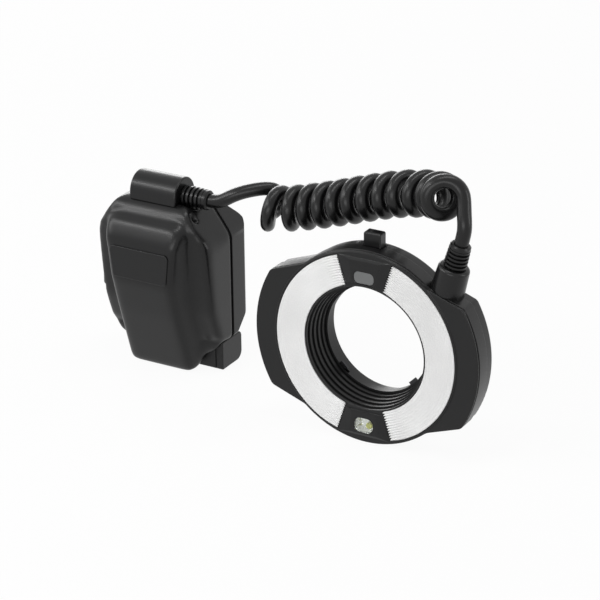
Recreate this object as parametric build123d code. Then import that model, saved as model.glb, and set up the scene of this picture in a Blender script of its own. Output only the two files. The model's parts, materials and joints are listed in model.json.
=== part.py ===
from build123d import *
import math
import os

# Macro ring flash: a ring head, a control unit and the curly cord between them.
# Millimetres. X goes across, Y goes back from the side that faces the subject, Z goes up.
# The origin is on the floor, under the middle of the two units.

# Overall places
axis_spacing = 139.5  # from the ring's optical axis to the control unit's middle plane
overrun = 1.0  # how far every cut runs past what it cuts
seat_gap = 0.1  # between pieces that are fixed to each other but aren't touching
move_gap = 0.35  # round pieces that move

# Ring head, seen from the front
wing_reach = 10.7  # from the ring's edge to the wings' edge
wing_corner_height = 32.1
wing_corner_fillet = 4.5
wing_root_fillet = 8.0
wing_root_angle = 48.4  # degrees above the horizontal, where a wing's edge leaves the ring
rim_step = 0.6  # from the rim's edge to the ring's edge
rim_margin = 1.3  # from the windows to the rim's edge
window_width = 16.2
window_margin = 0.9  # from the lip to the windows
lip_step = 0.8  # from the bore to the lip
divider_half_angle = 17.6  # degrees from the vertical

# Ring head, seen from the side
rim_height = 0.5
front_plate = 2.1
groove_front = 1.1
groove_width = 0.9
groove_depth = 0.8
ring_parting = 11.0
ring_back = 18.7
ring_wall = 1.8
rear_inset = 0.6
front_edge_fillet = 0.5
rear_edge_fillet = 2.2
collar_depth = 7.1

# Bore
barrel_wall = 1.9
barrel_first_radius = 32.5
barrel_step_count = 4
barrel_step_height = 0.75
barrel_groove_depth = 0.5
barrel_groove_width = 0.9
neck_inset = 3.5  # how far the neck stands in from the first step
neck_length = 4.3
socket_step = 2.5  # from the neck to the socket's wall
collar_width = 5.9
collar_edge_fillet = 1.0

# Windows, reflectors and tubes
window_thickness = 1.9
window_proud = 0.15
window_end_angle = 0.1  # degrees that each window stops short of its divider
reflector_depth = 6.2
reflector_skin = 0.7
reflector_end_angle = 3.0  # degrees that each reflector stops short of its window
tube_radius = 1.7
tube_end_angle = 6.0  # degrees that each tube stops short of its window

# Focusing lamps in the dividers
lamp_proud = 0.8
lamp_block_inner_margin = 0.1  # from the windows' inner arc
lamp_block_outer_margin = 1.5  # from the windows' outer arc
lamp_block_gap = 0.4  # from the block's sides to the windows' ends
lamp_face_inner_slope = 0.7  # from the block's inner edge up to its face
lamp_face_outer_slope = 1.7
lamp_face_inner_half_width = 6.6
lamp_face_outer_half_width = 8.2
lamp_block_corner = 0.6
top_lamp_width = 11.0
top_lamp_height = 6.2
top_lamp_margin = 4.3  # from the windows' inner arc
bottom_lamp_width = 10.4
bottom_lamp_height = 8.0
bottom_lamp_margin = 7.8  # from the windows' outer arc
lamp_corner_share = 0.42
lamp_led_share = 0.25  # of the lens's width, from its middle
lamp_lens_thickness = 1.2
lamp_lens_setback = 0.35
lamp_led_radius = 1.7
lamp_led_depth = 2.4

# Boards inside the ring
ring_board_front = 12.0
ring_board_thickness = 1.2
ring_board_gap = 1.6
ring_board_width = 9.2

# Release tab, latch and its springs
tab_half_width = 4.8
tab_front = 8.0
tab_back = 14.0
tab_reach = 7.3  # above the ring's edge
tab_fillet = 1.2
tab_slot_gap = 0.5
tab_sink = 1.4  # how far its base is under the ring's edge
tab_foot_half_width = 6.0
tab_foot_height = 2.2
latch_travel = 2.5
latch_front = 14.9
latch_thickness = 1.3
latch_gap = 3.2  # from the barrel's wall
latch_width = 3.6
latch_stem_half_width = 3.0
claw_angle = 45.0  # degrees below the horizontal, each side
claw_width = 4.6
claw_reach = 1.8  # how far the claws come out of the neck
spring_margin = 2.4  # from the latch's edge to a spring's axis
spring_radius = 1.2
spring_bore = 0.8
spring_length = 7.0
spring_shelf = 1.6
spring_lug = 4.4

# Cord boss on the ring and its strain relief
boss_depth = 9.9
boss_tilt = 15.0  # degrees from the vertical
boss_rise = 1.78  # how far its base is from the ring's edge
boss_angle = 41.03  # degrees above the horizontal
boss_length = 15.4
boss_base_radius = 8.75
boss_top_radius = 8.0
boss_edge_fillet = 1.8
cord_radius = 3.65
relief_first_radius = 5.9
relief_last_radius = 5.3
relief_core_radius = 4.5
relief_rib_count = 5
relief_collar_share = 0.18
relief_flank_share = 0.33  # of a rib's pitch, and of the collar for its end
ring_relief_length = 12.6
control_relief_length = 15.6

# Ring screws
ring_screw_margin = 8.4  # from the wings' edge
ring_screw_height = 17.0
screw_head_radius = 1.7
screw_head_height = 1.3
screw_shank_radius = 1.0
screw_shank_length = 5.0
screw_post_radius = 2.8
screw_sink = 0.5
screw_slot_share = 0.33

# Control unit, outer shape; heights are from the floor, depths from the ring's front plane
unit_half_width = 35.0
unit_top_gap = 3.6  # from the capacitor to the top
unit_base = 17.3
unit_front = 17.6
unit_back = 62.0
unit_shoulder_drop = 19.9  # below the top, as the other drops
unit_top_half_width = 20.5
unit_rear_top_depth = 47.0
unit_rear_top_drop = 15.4
unit_rear_chamfer = 13.0
unit_front_foot_depth = 32.4
unit_front_knee_depth = 25.0
unit_front_knee_height = 38.0
unit_wall = 1.8
view_slack = 0.03  # keeps the outlines that the body is cut from out of each other's planes
unit_top_corner_fillet = 9.0
unit_shoulder_fillet = 11.0
unit_plan_front_fillet = 8.0
unit_plan_rear_fillet = 5.0
unit_small_fillet = 2.5
unit_parting = 44.5
strip_width = 1.5
strip_inset = 0.9

# Bulge and chin on the control unit's front
bulge_front = 9.0
bulge_top_drop = 8.4
bulge_ridge_depth = 14.5
bulge_face_top_drop = 18.9
bulge_face_bottom = 56.0
bulge_knee_depth = 14.6
bulge_knee_height = 36.0
chin_front = 26.4
chin_back = 31.4
chin_rise = 6.0  # how high the chin's underside climbs to the skirt's back
bulge_inside_depth = 40.0
bulge_half_width_top = 22.2
bulge_half_width_foot = 13.2
bulge_flank_slope = 19.0  # degrees
bulge_corner_fillet = 6.0
bulge_edge_fillet = 3.0

# Skirt that hangs under the body in front of the lock lever
skirt_back = 36.4
skirt_low_depth = 35.2
skirt_outline = [(33.4, 17.6), (31.0, 13.2), (27.0, 10.4), (20.0, 7.4), (13.2, 3.4)]  # half width and height
skirt_fillet = 1.6

# Bare name panel
panel_thickness = 0.7
panel_height = 17.4
panel_drop = 22.8
panel_half_width = 18.4
panel_lower_half_width = 16.4
panel_corner_fillet = 2.6

# Connector housing on top
housing_half_length = 14.2
housing_front = 23.5
housing_radius = 10.0
housing_rise = 2.2  # from the top to its axis
housing_edge_fillet = 0.9
saddle_gap = 0.3  # between the cord's strain relief and its trough in the shoulder

# Battery bay in the left flank
cell_radius = 7.1
cell_length = 49.5
cell_nub_radius = 2.7
cell_nub_height = 1.0
cell_pitch = 14.4
bay_centre_depth = 41.4
bay_rise = 40.9  # from the unit's base to the bay's middle
cage_wall = 0.6
cell_left_end = -29.6
contact_thickness = 0.5
contact_half_height = 5.0
door_thickness = 2.6
door_pin_radius = 0.6
door_pull_depth = 0.65

# Rear control panel
rear_panel_thickness = 1.6
rear_panel_half_width = 28.0
rear_panel_bottom = 34.0
rear_panel_top = 78.6
rear_panel_fillet = 3.0
lcd_half_width = 18.5
lcd_bottom = 57.6
lcd_top = 76.4
lcd_fillet = 1.2
lcd_module_thickness = 2.3
key_half_width = 3.5
key_half_height = 1.7
key_row_height = 52.6
key_row_pitch = 9.6
key_row_count = 4
key_proud = 0.8
key_flange = 0.9
key_flange_thickness = 1.0
key_travel = 0.5
round_key_radius = 2.5
round_key_height = 45.2
mode_key_x = -20.0
lamp_key_x = -11.6
test_key_x = -20.0
test_key_height = 37.8
dial_x = 14.0
dial_height = 42.4
dial_radius = 7.2
dial_bore_radius = 3.6
dial_proud = 2.6
dial_notch_count = 24
dial_notch_radius = 0.45
dial_chamfer = 0.4
dial_hub_radius = 4.7
set_key_radius = 3.2
set_key_proud = 1.5
power_x = -7.2
power_height = 38.4
power_knob_half_width = 2.2
power_knob_half_height = 1.6
power_travel = 5.0
power_proud = 1.5
power_fillet = 0.4
key_mat_front = 58.0
key_mat_thickness = 0.7
board_front = 56.7
board_thickness = 1.1

# Capacitor
capacitor_radius = 8.4
capacitor_half_length = 13.5
capacitor_gap = 3.7  # from the battery bay
capacitor_depth = 35.5
capacitor_fillet = 1.0

# Foot and lock lever
foot_depth = 47.0
foot_post_radius = 7.0
foot_block_half_width = 9.4
foot_block_half_depth = 8.2
foot_block_bottom = 13.0
foot_post_bottom = 5.3
shoe_half_width = 9.3
shoe_half_length = 9.0
shoe_thickness = 2.1
shoe_chamfer = 0.7
shoe_neck_half_width = 6.1
shoe_neck_height = 2.2
shoe_disc_radius = 8.7
lever_clearance = 0.05
lever_outer_radius = 9.7
lever_bottom = 5.4
lever_top = 12.8
lever_arm_half_depth = 6.0
lever_block_inner = 13.6
lever_block_outer = 33.0
lever_block_front = 36.9
lever_block_back = 57.0
lever_block_bottom = 0.6
lever_block_top = 16.8
lever_rear_fillet = 5.0
lever_top_fillet = 3.0
lever_edge_fillet = 0.8
lever_groove_offset = 4.6
lever_groove_width = 0.8
pin_radius = 0.9
pin_offset = 4.6
pin_top = 11.0
pin_bottom = 0.3
contact_pin_radius = 0.6
contact_pin_offset = 2.6
shoulder_screw_x = 24.5
shoulder_screw_depth = 25.4
shoulder_screw_drop = 8.8
shoulder_post_length = 14.4

# Curly cord: the coil's axis runs between two points with a slope at each, from the ring's centre
coil_start = (-72.2, 30.0, 51.1)
coil_end = (26.0, 33.0, 77.6)
coil_start_slope = (1.0, 0.33, 0.062)
coil_end_slope = (1.0, 0.211, 0.096)
coil_radius = 8.45
coil_quarter_turns = 47
coil_even_quarters = 43  # quarter turns from one end of the axis to the other
coil_first_quarter = 1  # the coil starts at the bottom, one quarter turn along the axis
coil_fan = (-6.6, 0.0, -0.8)  # how far the first turn is pulled off the axis
coil_fan_share = 0.1
coil_swing = (13.4, -22.6, 6.4)  # how far the last turns swing to the front
coil_swing_share = 0.72
coil_slow_share = 0.93  # from here the axis slows and only the swing goes on
coil_slow_reach = 0.075
coil_samples = 16  # points on each quarter turn for the gap measure

# Free stretches of the cord, from the ring's centre; their straight ends are worked out
lead_control_points = [(-96.6, 35.5, 52.2), (-89.6, 39.0, 54.8), (-81.2, 44.7, 56.0), (-77.6, 48.6, 53.5),
                       (-76.5, 50.5, 48.5), (-77.3, 48.6, 43.4)]
lead_first_run = 5.5
lead_coil_run = 6.5
lead_ring_coil_run = 5.0
lead_last_run = 6.0
lead_corner_share = 0.45  # of a corner's shorter run, taken by its arc

# Derived sizes of the ring head
barrel_wall_radius = barrel_first_radius + barrel_wall
neck_radius = barrel_first_radius - neck_inset
socket_radius = neck_radius + socket_step
collar_outer_radius = socket_radius + collar_width
claw_tip_radius = neck_radius - claw_reach
lip_radius = barrel_first_radius + lip_step
window_inner_radius = lip_radius + window_margin
window_outer_radius = window_inner_radius + window_width
rim_radius = window_outer_radius + rim_margin
ring_radius = rim_radius + rim_step
wing_radius = ring_radius + wing_reach
ring_board_inner_radius = barrel_wall_radius + ring_board_gap
ring_board_outer_radius = ring_board_inner_radius + ring_board_width
latch_inner_radius = barrel_wall_radius + latch_gap
latch_outer_radius = latch_inner_radius + latch_width
spring_offset = latch_outer_radius + spring_margin
tab_base = ring_radius - tab_sink
tab_top = ring_radius + tab_reach
ring_screw_x = wing_radius - ring_screw_margin
top_lamp_radius = window_inner_radius + top_lamp_margin
bottom_lamp_radius = window_outer_radius - bottom_lamp_margin
boss_base_x = (ring_radius + boss_rise) * math.cos(math.radians(boss_angle))
boss_base_height = (ring_radius + boss_rise) * math.sin(math.radians(boss_angle))

# Derived sizes of the control unit, from its base up to its top
bay_half = cell_pitch + cage_wall + seat_gap
bay_centre_height = unit_base + bay_rise
capacitor_height = bay_centre_height + bay_half + capacitor_gap + capacitor_radius
unit_top = capacitor_height + capacitor_radius + unit_top_gap
unit_shoulder_height = unit_top - unit_shoulder_drop
unit_rear_top_height = unit_top - unit_rear_top_drop
bulge_top = unit_top - bulge_top_drop
bulge_face_top = unit_top - bulge_face_top_drop
panel_top = unit_top - panel_drop
panel_bottom = panel_top - panel_height
housing_axis_height = unit_top + housing_rise
shoulder_screw_seat = unit_top - shoulder_screw_drop
shoulder_post_bottom = unit_top - shoulder_post_length

# Derived places
front_reach = lamp_proud
rear_reach = unit_back + dial_proud
ring_x = (axis_spacing + unit_half_width - wing_radius) / 2
unit_x = ring_x - axis_spacing
depth_shift = -(rear_reach - front_reach) / 2
ring_place = Location((ring_x, depth_shift, ring_radius))
unit_place = Location((unit_x, depth_shift, 0))
door_axis_x = -unit_half_width + door_thickness / 2
door_bottom = bay_centre_height - bay_half - door_thickness / 2
door_top = bay_centre_height + bay_half + seat_gap
door_front = bay_centre_depth - bay_half
door_back = bay_centre_depth + bay_half
door_axis_height = door_bottom + door_thickness / 2


def upright(outline, front, back):
    """Extrude an outline drawn as seen from the front, from one depth to another."""
    return extrude(Plane.XZ.offset(-back) * outline, amount=back - front)


def sideways(outline, left, right):
    """Extrude an outline drawn in depth and height, from one side to the other."""
    return extrude(Plane.YZ.offset(left) * outline, amount=right - left)


def flat(outline, bottom, top):
    """Extrude an outline drawn in plan, from one height to another."""
    return extrude(Pos(0, 0, bottom) * outline, amount=top - bottom)


def block(left, right, front, back, bottom, top):
    """A plain block between two corners."""
    return Pos(left, front, bottom) * Box(
        right - left, back - front, top - bottom, align=(Align.MIN, Align.MIN, Align.MIN)
    )


def turned(points):
    """Spin a closed outline of radius and depth round the Y axis."""
    return revolve(make_face(Polyline(*points, close=True)), Axis.Y)


def rounded(points, radii):
    """A closed outline with its own fillet on each corner."""
    face = make_face(Polyline(*points, close=True))
    for point, radius in zip(points, radii):
        if radius > 0:
            corner = face.vertices().sort_by_distance(Vector(*point))[0]
            face = fillet(corner, radius)
    return face


def mirrored(shape):
    """The same shape on the other side of the YZ plane."""
    return mirror(shape, about=Plane.YZ)


def save(shape, place, node):
    """Write one sub-part, or a group of alike ones, at its place on the object."""
    pieces = shape if isinstance(shape, list) else [shape]
    solids = [place * solid for piece in pieces for solid in piece.solids()]
    export_step(solids[0] if len(solids) == 1 else Compound(children=solids), "parts/" + node + ".step")


# Ring head

def ring_outline():
    """The ring's outline with its two wings, as seen from the front."""
    angle = math.radians(wing_root_angle)
    root_x, root_height = ring_radius * math.cos(angle), ring_radius * math.sin(angle)
    corner_x = math.sqrt(wing_radius**2 - wing_corner_height**2)
    slope = (root_height - wing_corner_height) / (corner_x - root_x)
    outer_x, inner_x = wing_radius + overrun, root_x - overrun
    low, high = wing_corner_height - slope * (outer_x - corner_x), root_height + slope * overrun
    half = [(inner_x, high), (outer_x, low), (outer_x, -low), (inner_x, -high)]
    wings = Circle(wing_radius) & Polygon(*half, *[(-x, -height) for x, height in half], align=None)
    face = Sketch() + [Circle(ring_radius) + wings]

    def corners(radius):
        return face.vertices().filter_by(
            lambda v: abs(math.hypot(v.X, v.Y) - radius) < seat_gap and abs(v.Y) > wing_corner_height / 2
        )

    face = fillet(corners(wing_radius), wing_corner_fillet)
    return fillet(corners(ring_radius), wing_root_fillet)


def window_outline(inner, outer, end_angle):
    """A sector of a ring on the right side, that stops end_angle degrees short of the divider."""
    half = math.radians(90 - divider_half_angle - end_angle)
    reach = outer + overrun
    wedge = Polygon(
        (0, 0), (reach * math.cos(half), -reach * math.sin(half)), (reach, -reach * math.sin(half)),
        (reach, reach * math.sin(half)), (reach * math.cos(half), reach * math.sin(half)), align=None
    )
    return (Circle(outer) - Circle(inner)) & wedge


def tab_slot():
    """The room in the ring's covers for the release tab, its foot and their travel."""
    gap = tab_slot_gap
    neck = block(-tab_half_width - gap, tab_half_width + gap, tab_front - gap, tab_back + gap,
                 tab_base, ring_radius + overrun)
    low = tab_base - tab_foot_height - latch_travel - gap
    foot = block(-tab_foot_half_width - gap, tab_foot_half_width + gap, tab_front - gap,
                 latch_front + latch_thickness + gap, low, tab_base)
    return neck + foot


def screw_posts(front, back):
    """Four posts for the ring's screws."""
    post = upright(Circle(screw_post_radius), front, back)
    places = [(x, z) for x in (-ring_screw_x, ring_screw_x) for z in (-ring_screw_height, ring_screw_height)]
    return [Pos(x, 0, z) * post for x, z in places]


def ring_front_cover(outline):
    cover = upright(outline, rim_height, ring_parting)
    cover = fillet(cover.faces().sort_by(Axis.Y)[0].outer_wire().edges(), front_edge_fillet)
    cover -= upright(offset(outline, -ring_wall), rim_height + front_plate, ring_parting + overrun)
    groove = offset(outline, overrun) - offset(outline, -groove_depth)
    cover -= upright(groove, rim_height + groove_front, rim_height + groove_front + groove_width)
    for post in screw_posts(rim_height + front_plate, ring_parting):
        cover += post
    cover += upright(Circle(rim_radius), 0, rim_height)
    window = window_outline(window_inner_radius, window_outer_radius, 0)
    hole = upright(window, -overrun, rim_height + front_plate + overrun)
    cover -= hole
    cover -= mirrored(hole)
    cover -= upright(Circle(lip_radius), -overrun, ring_parting)
    cover -= lamp_room(top_lamp_radius, top_lamp_width, top_lamp_height)
    cover -= lamp_room(-bottom_lamp_radius, bottom_lamp_width, bottom_lamp_height)
    cover -= screw_bores()
    return cover - tab_slot()


def screw_bores():
    """Holes for the shanks of the ring's screws, open at the back."""
    bore = upright(Circle(screw_shank_radius), screw_seat() - screw_shank_length, ring_back + overrun)
    places = [(x, z) for x in (-ring_screw_x, ring_screw_x) for z in (-ring_screw_height, ring_screw_height)]
    return [Pos(x, 0, z) * bore for x, z in places]


def screw_seat():
    """The depth at which the heads of the ring's screws sit."""
    return ring_back - screw_sink - screw_head_height


def ring_rear_cover(outline):
    inset = offset(outline, -rear_inset)
    cover = upright(inset, ring_parting, ring_back)
    cover = fillet(cover.faces().sort_by(Axis.Y)[-1].outer_wire().edges(), rear_edge_fillet)
    cover -= upright(offset(inset, -ring_wall), ring_parting - overrun, ring_back - ring_wall)
    for post in screw_posts(ring_parting, ring_back - ring_wall):
        cover += post
    for side in (-1, 1):
        cover += spring_shelf_block(side)
    cover -= upright(Circle(barrel_wall_radius + seat_gap), ring_parting - overrun, ring_back + overrun)
    cover -= screw_bores()
    sink = upright(Circle(screw_head_radius + seat_gap), screw_seat(), ring_back + overrun)
    for x in (-ring_screw_x, ring_screw_x):
        for z in (-ring_screw_height, ring_screw_height):
            cover -= Pos(x, 0, z) * sink
    return cover - tab_slot()


def spring_shelf_block(side):
    """A shelf on the rear cover that carries one release spring."""
    centre = side * spring_offset
    top = -spring_lug / 2 - spring_length
    half = spring_radius + seat_gap
    return block(centre - half, centre + half, latch_front - half, ring_back - ring_wall,
                 top - spring_shelf, top)


def claw_slots():
    """The room in the barrel for both claws and their travel."""
    slots = []
    for side in (-1, 1):
        for drop in (0, latch_travel / 2, latch_travel):
            claw = claw_bar(side, claw_width + 2 * move_gap, claw_tip_radius - overrun,
                            latch_front - move_gap, latch_front + latch_thickness + move_gap)
            slots.append(Pos(0, 0, -drop) * claw)
    return slots


def claw_bar(side, width, tip, front, back):
    """A bar that points at the optical axis from the latch's ring."""
    outline = Pos((tip + latch_outer_radius) / 2, 0) * Rectangle(latch_outer_radius - tip, width)
    angle = -claw_angle if side > 0 else claw_angle - 180
    return upright(Rot(0, 0, angle) * outline, front, back)


def inner_barrel():
    front = rim_height + front_plate
    neck_front = ring_back - neck_length
    step = (neck_front - front) / barrel_step_count
    points = [(barrel_wall_radius, front), (barrel_first_radius, front)]
    for i in range(barrel_step_count):
        radius = barrel_first_radius - i * barrel_step_height
        back = front + (i + 1) * step
        groove = radius + barrel_groove_depth
        points += [(radius, back - barrel_groove_width), (groove, back - barrel_groove_width),
                   (groove, back), (radius - barrel_step_height, back)]
    points.pop()
    points += [(neck_radius, neck_front), (neck_radius, ring_back), (barrel_wall_radius, ring_back)]
    return turned(points) - claw_slots()


def lens_collar():
    back = ring_back + collar_depth
    collar = turned([(socket_radius, ring_back), (collar_outer_radius, ring_back),
                     (collar_outer_radius, back), (socket_radius, back)])
    edges = collar.faces().sort_by(Axis.Y)[-1].edges().sort_by(lambda e: e.radius)[-1:]
    return fillet(edges, collar_edge_fillet)


def window(side):
    gap = seat_gap
    outline = window_outline(window_inner_radius + gap, window_outer_radius - gap, window_end_angle)
    plate = upright(outline, -window_proud, window_thickness - window_proud)
    return plate if side > 0 else mirrored(plate)


def reflector(side):
    """A trough behind the window, open towards it."""
    front = window_thickness - window_proud + seat_gap
    inner = barrel_wall_radius + 2 * seat_gap
    outer = window_outer_radius - 2 * seat_gap
    skin = reflector_skin
    shell = upright(window_outline(inner, outer, reflector_end_angle), front, front + reflector_depth)
    hollow = window_outline(inner + skin, outer - skin, reflector_end_angle)
    shell -= upright(hollow, front - overrun, front + reflector_depth - skin)
    return shell if side > 0 else mirrored(shell)


def flash_tube(side):
    radius = (barrel_wall_radius + window_outer_radius) / 2
    depth = window_thickness + reflector_depth / 2
    half = 90 - divider_half_angle - tube_end_angle
    path = Plane.XZ.offset(-depth) * CenterArc((0, 0), radius, -half, 2 * half)
    tube = sweep(Plane(path @ 0, z_dir=path % 0) * Circle(tube_radius), path=path)
    return tube if side > 0 else mirrored(tube)


def lamp_shape(width, height, grow):
    """The outline of a lamp's lens, grown by a margin."""
    corner = lamp_corner_share * height
    return RectangleRounded(width + 2 * grow, height + 2 * grow, corner + grow)


def lamp_room(radius, width, height):
    """The hole in the front plate for a lamp's lens and LED."""
    outline = Pos(0, radius) * lamp_shape(width, height, seat_gap)
    return upright(outline, -overrun, rim_height + front_plate + overrun)


def lamp_bezel(radius, width, height):
    """The faceted block that fills the divider round a lamp, from its edges to a smaller face."""
    low = window_inner_radius + lamp_block_inner_margin
    high = window_outer_radius - lamp_block_outer_margin
    spread = math.tan(math.radians(divider_half_angle))
    foot = [(low * spread - lamp_block_gap, low), (high * spread - lamp_block_gap, high)]
    face = [(lamp_face_inner_half_width, low + lamp_face_inner_slope),
            (lamp_face_outer_half_width, high - lamp_face_outer_slope)]
    outlines = []
    for depth, (inner, outer) in ((0, foot), (-lamp_proud, face)):
        corners = [inner, outer, (-outer[0], outer[1]), (-inner[0], inner[1])]
        outlines.append(Plane.XZ.offset(-depth) * rounded(corners, [lamp_block_corner] * len(corners)))
    bezel = loft(outlines, ruled=True)
    if radius < 0:
        bezel = mirror(bezel, about=Plane.XY)
    return bezel - lamp_room(radius, width, height)


def lamp_lens(radius, width, height):
    outline = Pos(0, radius) * lamp_shape(width, height, 0)
    front = lamp_lens_setback - lamp_proud
    return upright(outline, front, front + lamp_lens_thickness)


def lamp_led(radius, width):
    front = lamp_lens_setback - lamp_proud + lamp_lens_thickness + seat_gap
    led = upright(Circle(lamp_led_radius), front, front + lamp_led_depth)
    return Pos(width * lamp_led_share, 0, radius) * led


def ring_board():
    return upright(Circle(ring_board_outer_radius) - Circle(ring_board_inner_radius),
                   ring_board_front, ring_board_front + ring_board_thickness)


def release_button():
    low = tab_base - tab_foot_height
    tab = block(-tab_half_width, tab_half_width, tab_front, tab_back, tab_base, tab_top)
    tab = fillet(tab.faces().sort_by(Axis.Z)[-1].edges(), tab_fillet)
    tab = fillet(tab.edges().filter_by(Axis.Z), tab_fillet / 2)
    foot = block(-tab_foot_half_width, tab_foot_half_width, tab_front, latch_front + latch_thickness,
                 low, tab_base)
    return tab + foot


def latch_yoke():
    """The plate that carries the claws: a horseshoe round the barrel with a stem up to the tab."""
    ring = Circle(latch_outer_radius) - Circle(latch_inner_radius)
    reach = latch_outer_radius + overrun
    edge = math.radians(claw_angle)
    ring -= Polygon((0, 0), (-reach * math.tan(edge), -reach), (reach * math.tan(edge), -reach), align=None)
    stem_top = tab_base - tab_foot_height
    middle = (latch_inner_radius + latch_outer_radius) / 2
    ring += Pos(0, (middle + stem_top) / 2) * Rectangle(2 * latch_stem_half_width, stem_top - middle)
    for side in (-1, 1):
        lug = Pos((latch_inner_radius + spring_offset + spring_radius) / 2, 0) * Rectangle(
            spring_offset + spring_radius - latch_inner_radius, spring_lug)
        ring += lug if side > 0 else mirrored(lug)
    yoke = upright(ring, latch_front, latch_front + latch_thickness)
    for side in (-1, 1):
        yoke += claw_bar(side, claw_width, claw_tip_radius, latch_front, latch_front + latch_thickness)
    return yoke


def release_springs():
    top = -spring_lug / 2
    body = flat(Circle(spring_radius) - Circle(spring_bore), top - spring_length, top)
    depth = latch_front + latch_thickness / 2
    return [Pos(side * spring_offset, depth, 0) * body for side in (-1, 1)]


def boss_frame(along):
    """A plane square to the cord boss, so far along its axis from the base."""
    tilt = math.radians(boss_tilt)
    way = Vector(math.sin(tilt), 0, math.cos(tilt))
    return Plane(Vector(boss_base_x, boss_depth, boss_base_height) + way * along, x_dir=(0, 1, 0), z_dir=way)


def cord_boss(outline):
    low = -boss_length / 2
    grow = (boss_base_radius - boss_top_radius) / boss_length
    cone = Solid.make_cone(boss_base_radius - grow * low, boss_top_radius, boss_length - low, boss_frame(low))
    rim = cone.edges().sort_by(Axis.Z)[-1:]
    boss = fillet(rim, boss_edge_fillet)
    boss -= upright(outline, rim_height, ring_back)
    return boss.solids().sort_by(Axis.Z)[-1]


def strain_relief(length):
    """A ribbed, tapering sleeve that stands on the XY plane."""
    collar = length * relief_collar_share
    pitch = (length - collar) / relief_rib_count
    points = [(0, 0), (relief_core_radius, 0)]
    for i in range(relief_rib_count):
        low = i * pitch
        radius = relief_first_radius + (relief_last_radius - relief_first_radius) * low / length
        points += [(relief_core_radius, low + pitch * relief_flank_share), (radius, low + pitch / 2),
                   (radius, low + pitch - seat_gap), (relief_core_radius, low + pitch)]
    points += [(relief_last_radius, length - collar),
               (relief_last_radius, length - collar * relief_flank_share),
               (relief_core_radius, length), (0, length)]
    return revolve(make_face(Plane.XZ * Polyline(*points, close=True)), Axis.Z)


def ring_screws():
    head = upright(Circle(screw_head_radius), screw_seat(), screw_seat() + screw_head_height)
    slot = screw_shank_radius * screw_slot_share
    head -= upright(Rectangle(screw_head_radius, slot) + Rectangle(slot, screw_head_radius),
                    screw_seat() + screw_head_height / 2, ring_back)
    shank = upright(Circle(screw_shank_radius), screw_seat() - screw_shank_length, screw_seat())
    screw = head + shank
    places = [(x, z) for x in (-ring_screw_x, ring_screw_x) for z in (-ring_screw_height, ring_screw_height)]
    return [Pos(x, 0, z) * screw for x, z in places]


# Control unit

def unit_body(inset):
    """The control unit's main body, shrunk by a wall."""
    w, t, slack = unit_half_width, unit_top_half_width, view_slack
    top, base = unit_top + slack, unit_base - slack
    front_view = rounded(
        [(-t, top), (t, top), (w, unit_shoulder_height), (w, base), (-w, base), (-w, unit_shoulder_height)],
        [unit_top_corner_fillet, unit_top_corner_fillet, unit_shoulder_fillet, unit_small_fillet,
         unit_small_fillet, unit_shoulder_fillet])
    side_view = rounded(
        [(unit_front, unit_top), (unit_rear_top_depth, unit_top), (unit_back, unit_rear_top_height),
         (unit_back, unit_base + unit_rear_chamfer), (unit_back - unit_rear_chamfer, unit_base),
         (unit_front_foot_depth, unit_base), (unit_front_knee_depth, unit_front_knee_height)],
        [unit_top_corner_fillet, unit_shoulder_fillet, unit_top_corner_fillet, unit_small_fillet,
         unit_small_fillet, unit_top_corner_fillet, unit_shoulder_fillet * 2])
    plan = rounded(
        [(-w - slack, unit_front), (w + slack, unit_front), (w + slack, unit_back + slack),
         (-w - slack, unit_back + slack)],
        [unit_plan_front_fillet] * 2 + [unit_plan_rear_fillet] * 2)
    if inset > 0:
        front_view, side_view, plan = (offset(view, -inset) for view in (front_view, side_view, plan))
    body = upright(front_view, unit_front - overrun, unit_back + overrun)
    body &= sideways(side_view, -w - overrun, w + overrun)
    return body & flat(plan, unit_base - overrun, unit_top + overrun)


def skirt():
    """The wall that hangs under the body's front, between the chin and both flanks."""
    low = skirt_outline[-1][1]
    corners = skirt_outline + [(-x, height) for x, height in reversed(skirt_outline)]
    front_view = rounded(corners, [0] + [skirt_fillet] * 3 + [0, 0] + [skirt_fillet] * 3 + [0])
    roof = unit_base + unit_wall / 2
    side_view = Polygon((unit_front_foot_depth, unit_base), (skirt_low_depth, low), (skirt_back, low),
                        (skirt_back, roof), (unit_front_foot_depth, roof), align=None)
    shape = upright(front_view, unit_front, skirt_back)
    return shape & sideways(side_view, -unit_half_width, unit_half_width)


def bulge(inset):
    """The bulge and chin on the front, shrunk by a wall."""
    run = bulge_inside_depth - bulge_front
    spread = run * math.tan(math.radians(bulge_flank_slope))
    outlines = []
    for depth, grow in ((bulge_front, 0), (bulge_inside_depth, spread)):
        top, foot = bulge_half_width_top + grow - inset, bulge_half_width_foot + grow - inset
        face = rounded([(-top, bulge_top - inset), (top, bulge_top - inset), (foot, inset), (-foot, inset)],
                       [bulge_corner_fillet] * 2 + [unit_small_fillet] * 2)
        outlines.append(Plane.XZ.offset(-depth) * face)
    shape = loft(outlines, ruled=True)
    side_view = rounded(
        [(bulge_inside_depth, bulge_top), (bulge_ridge_depth, bulge_top), (bulge_front, bulge_face_top),
         (bulge_front, bulge_face_bottom), (bulge_knee_depth, bulge_knee_height), (chin_front, 0),
         (chin_back, 0), (skirt_back, chin_rise), (skirt_back, unit_base + unit_wall + overrun),
         (bulge_inside_depth, unit_base + unit_wall + overrun)],
        [0, bulge_edge_fillet, bulge_corner_fillet, bulge_corner_fillet, unit_shoulder_fillet,
         unit_small_fillet / 2, unit_small_fillet, 0, 0, 0])
    if inset > 0:
        side_view = offset(side_view, -inset)
    reach = bulge_half_width_top + spread + overrun
    return shape & sideways(side_view, -reach, reach)


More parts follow.
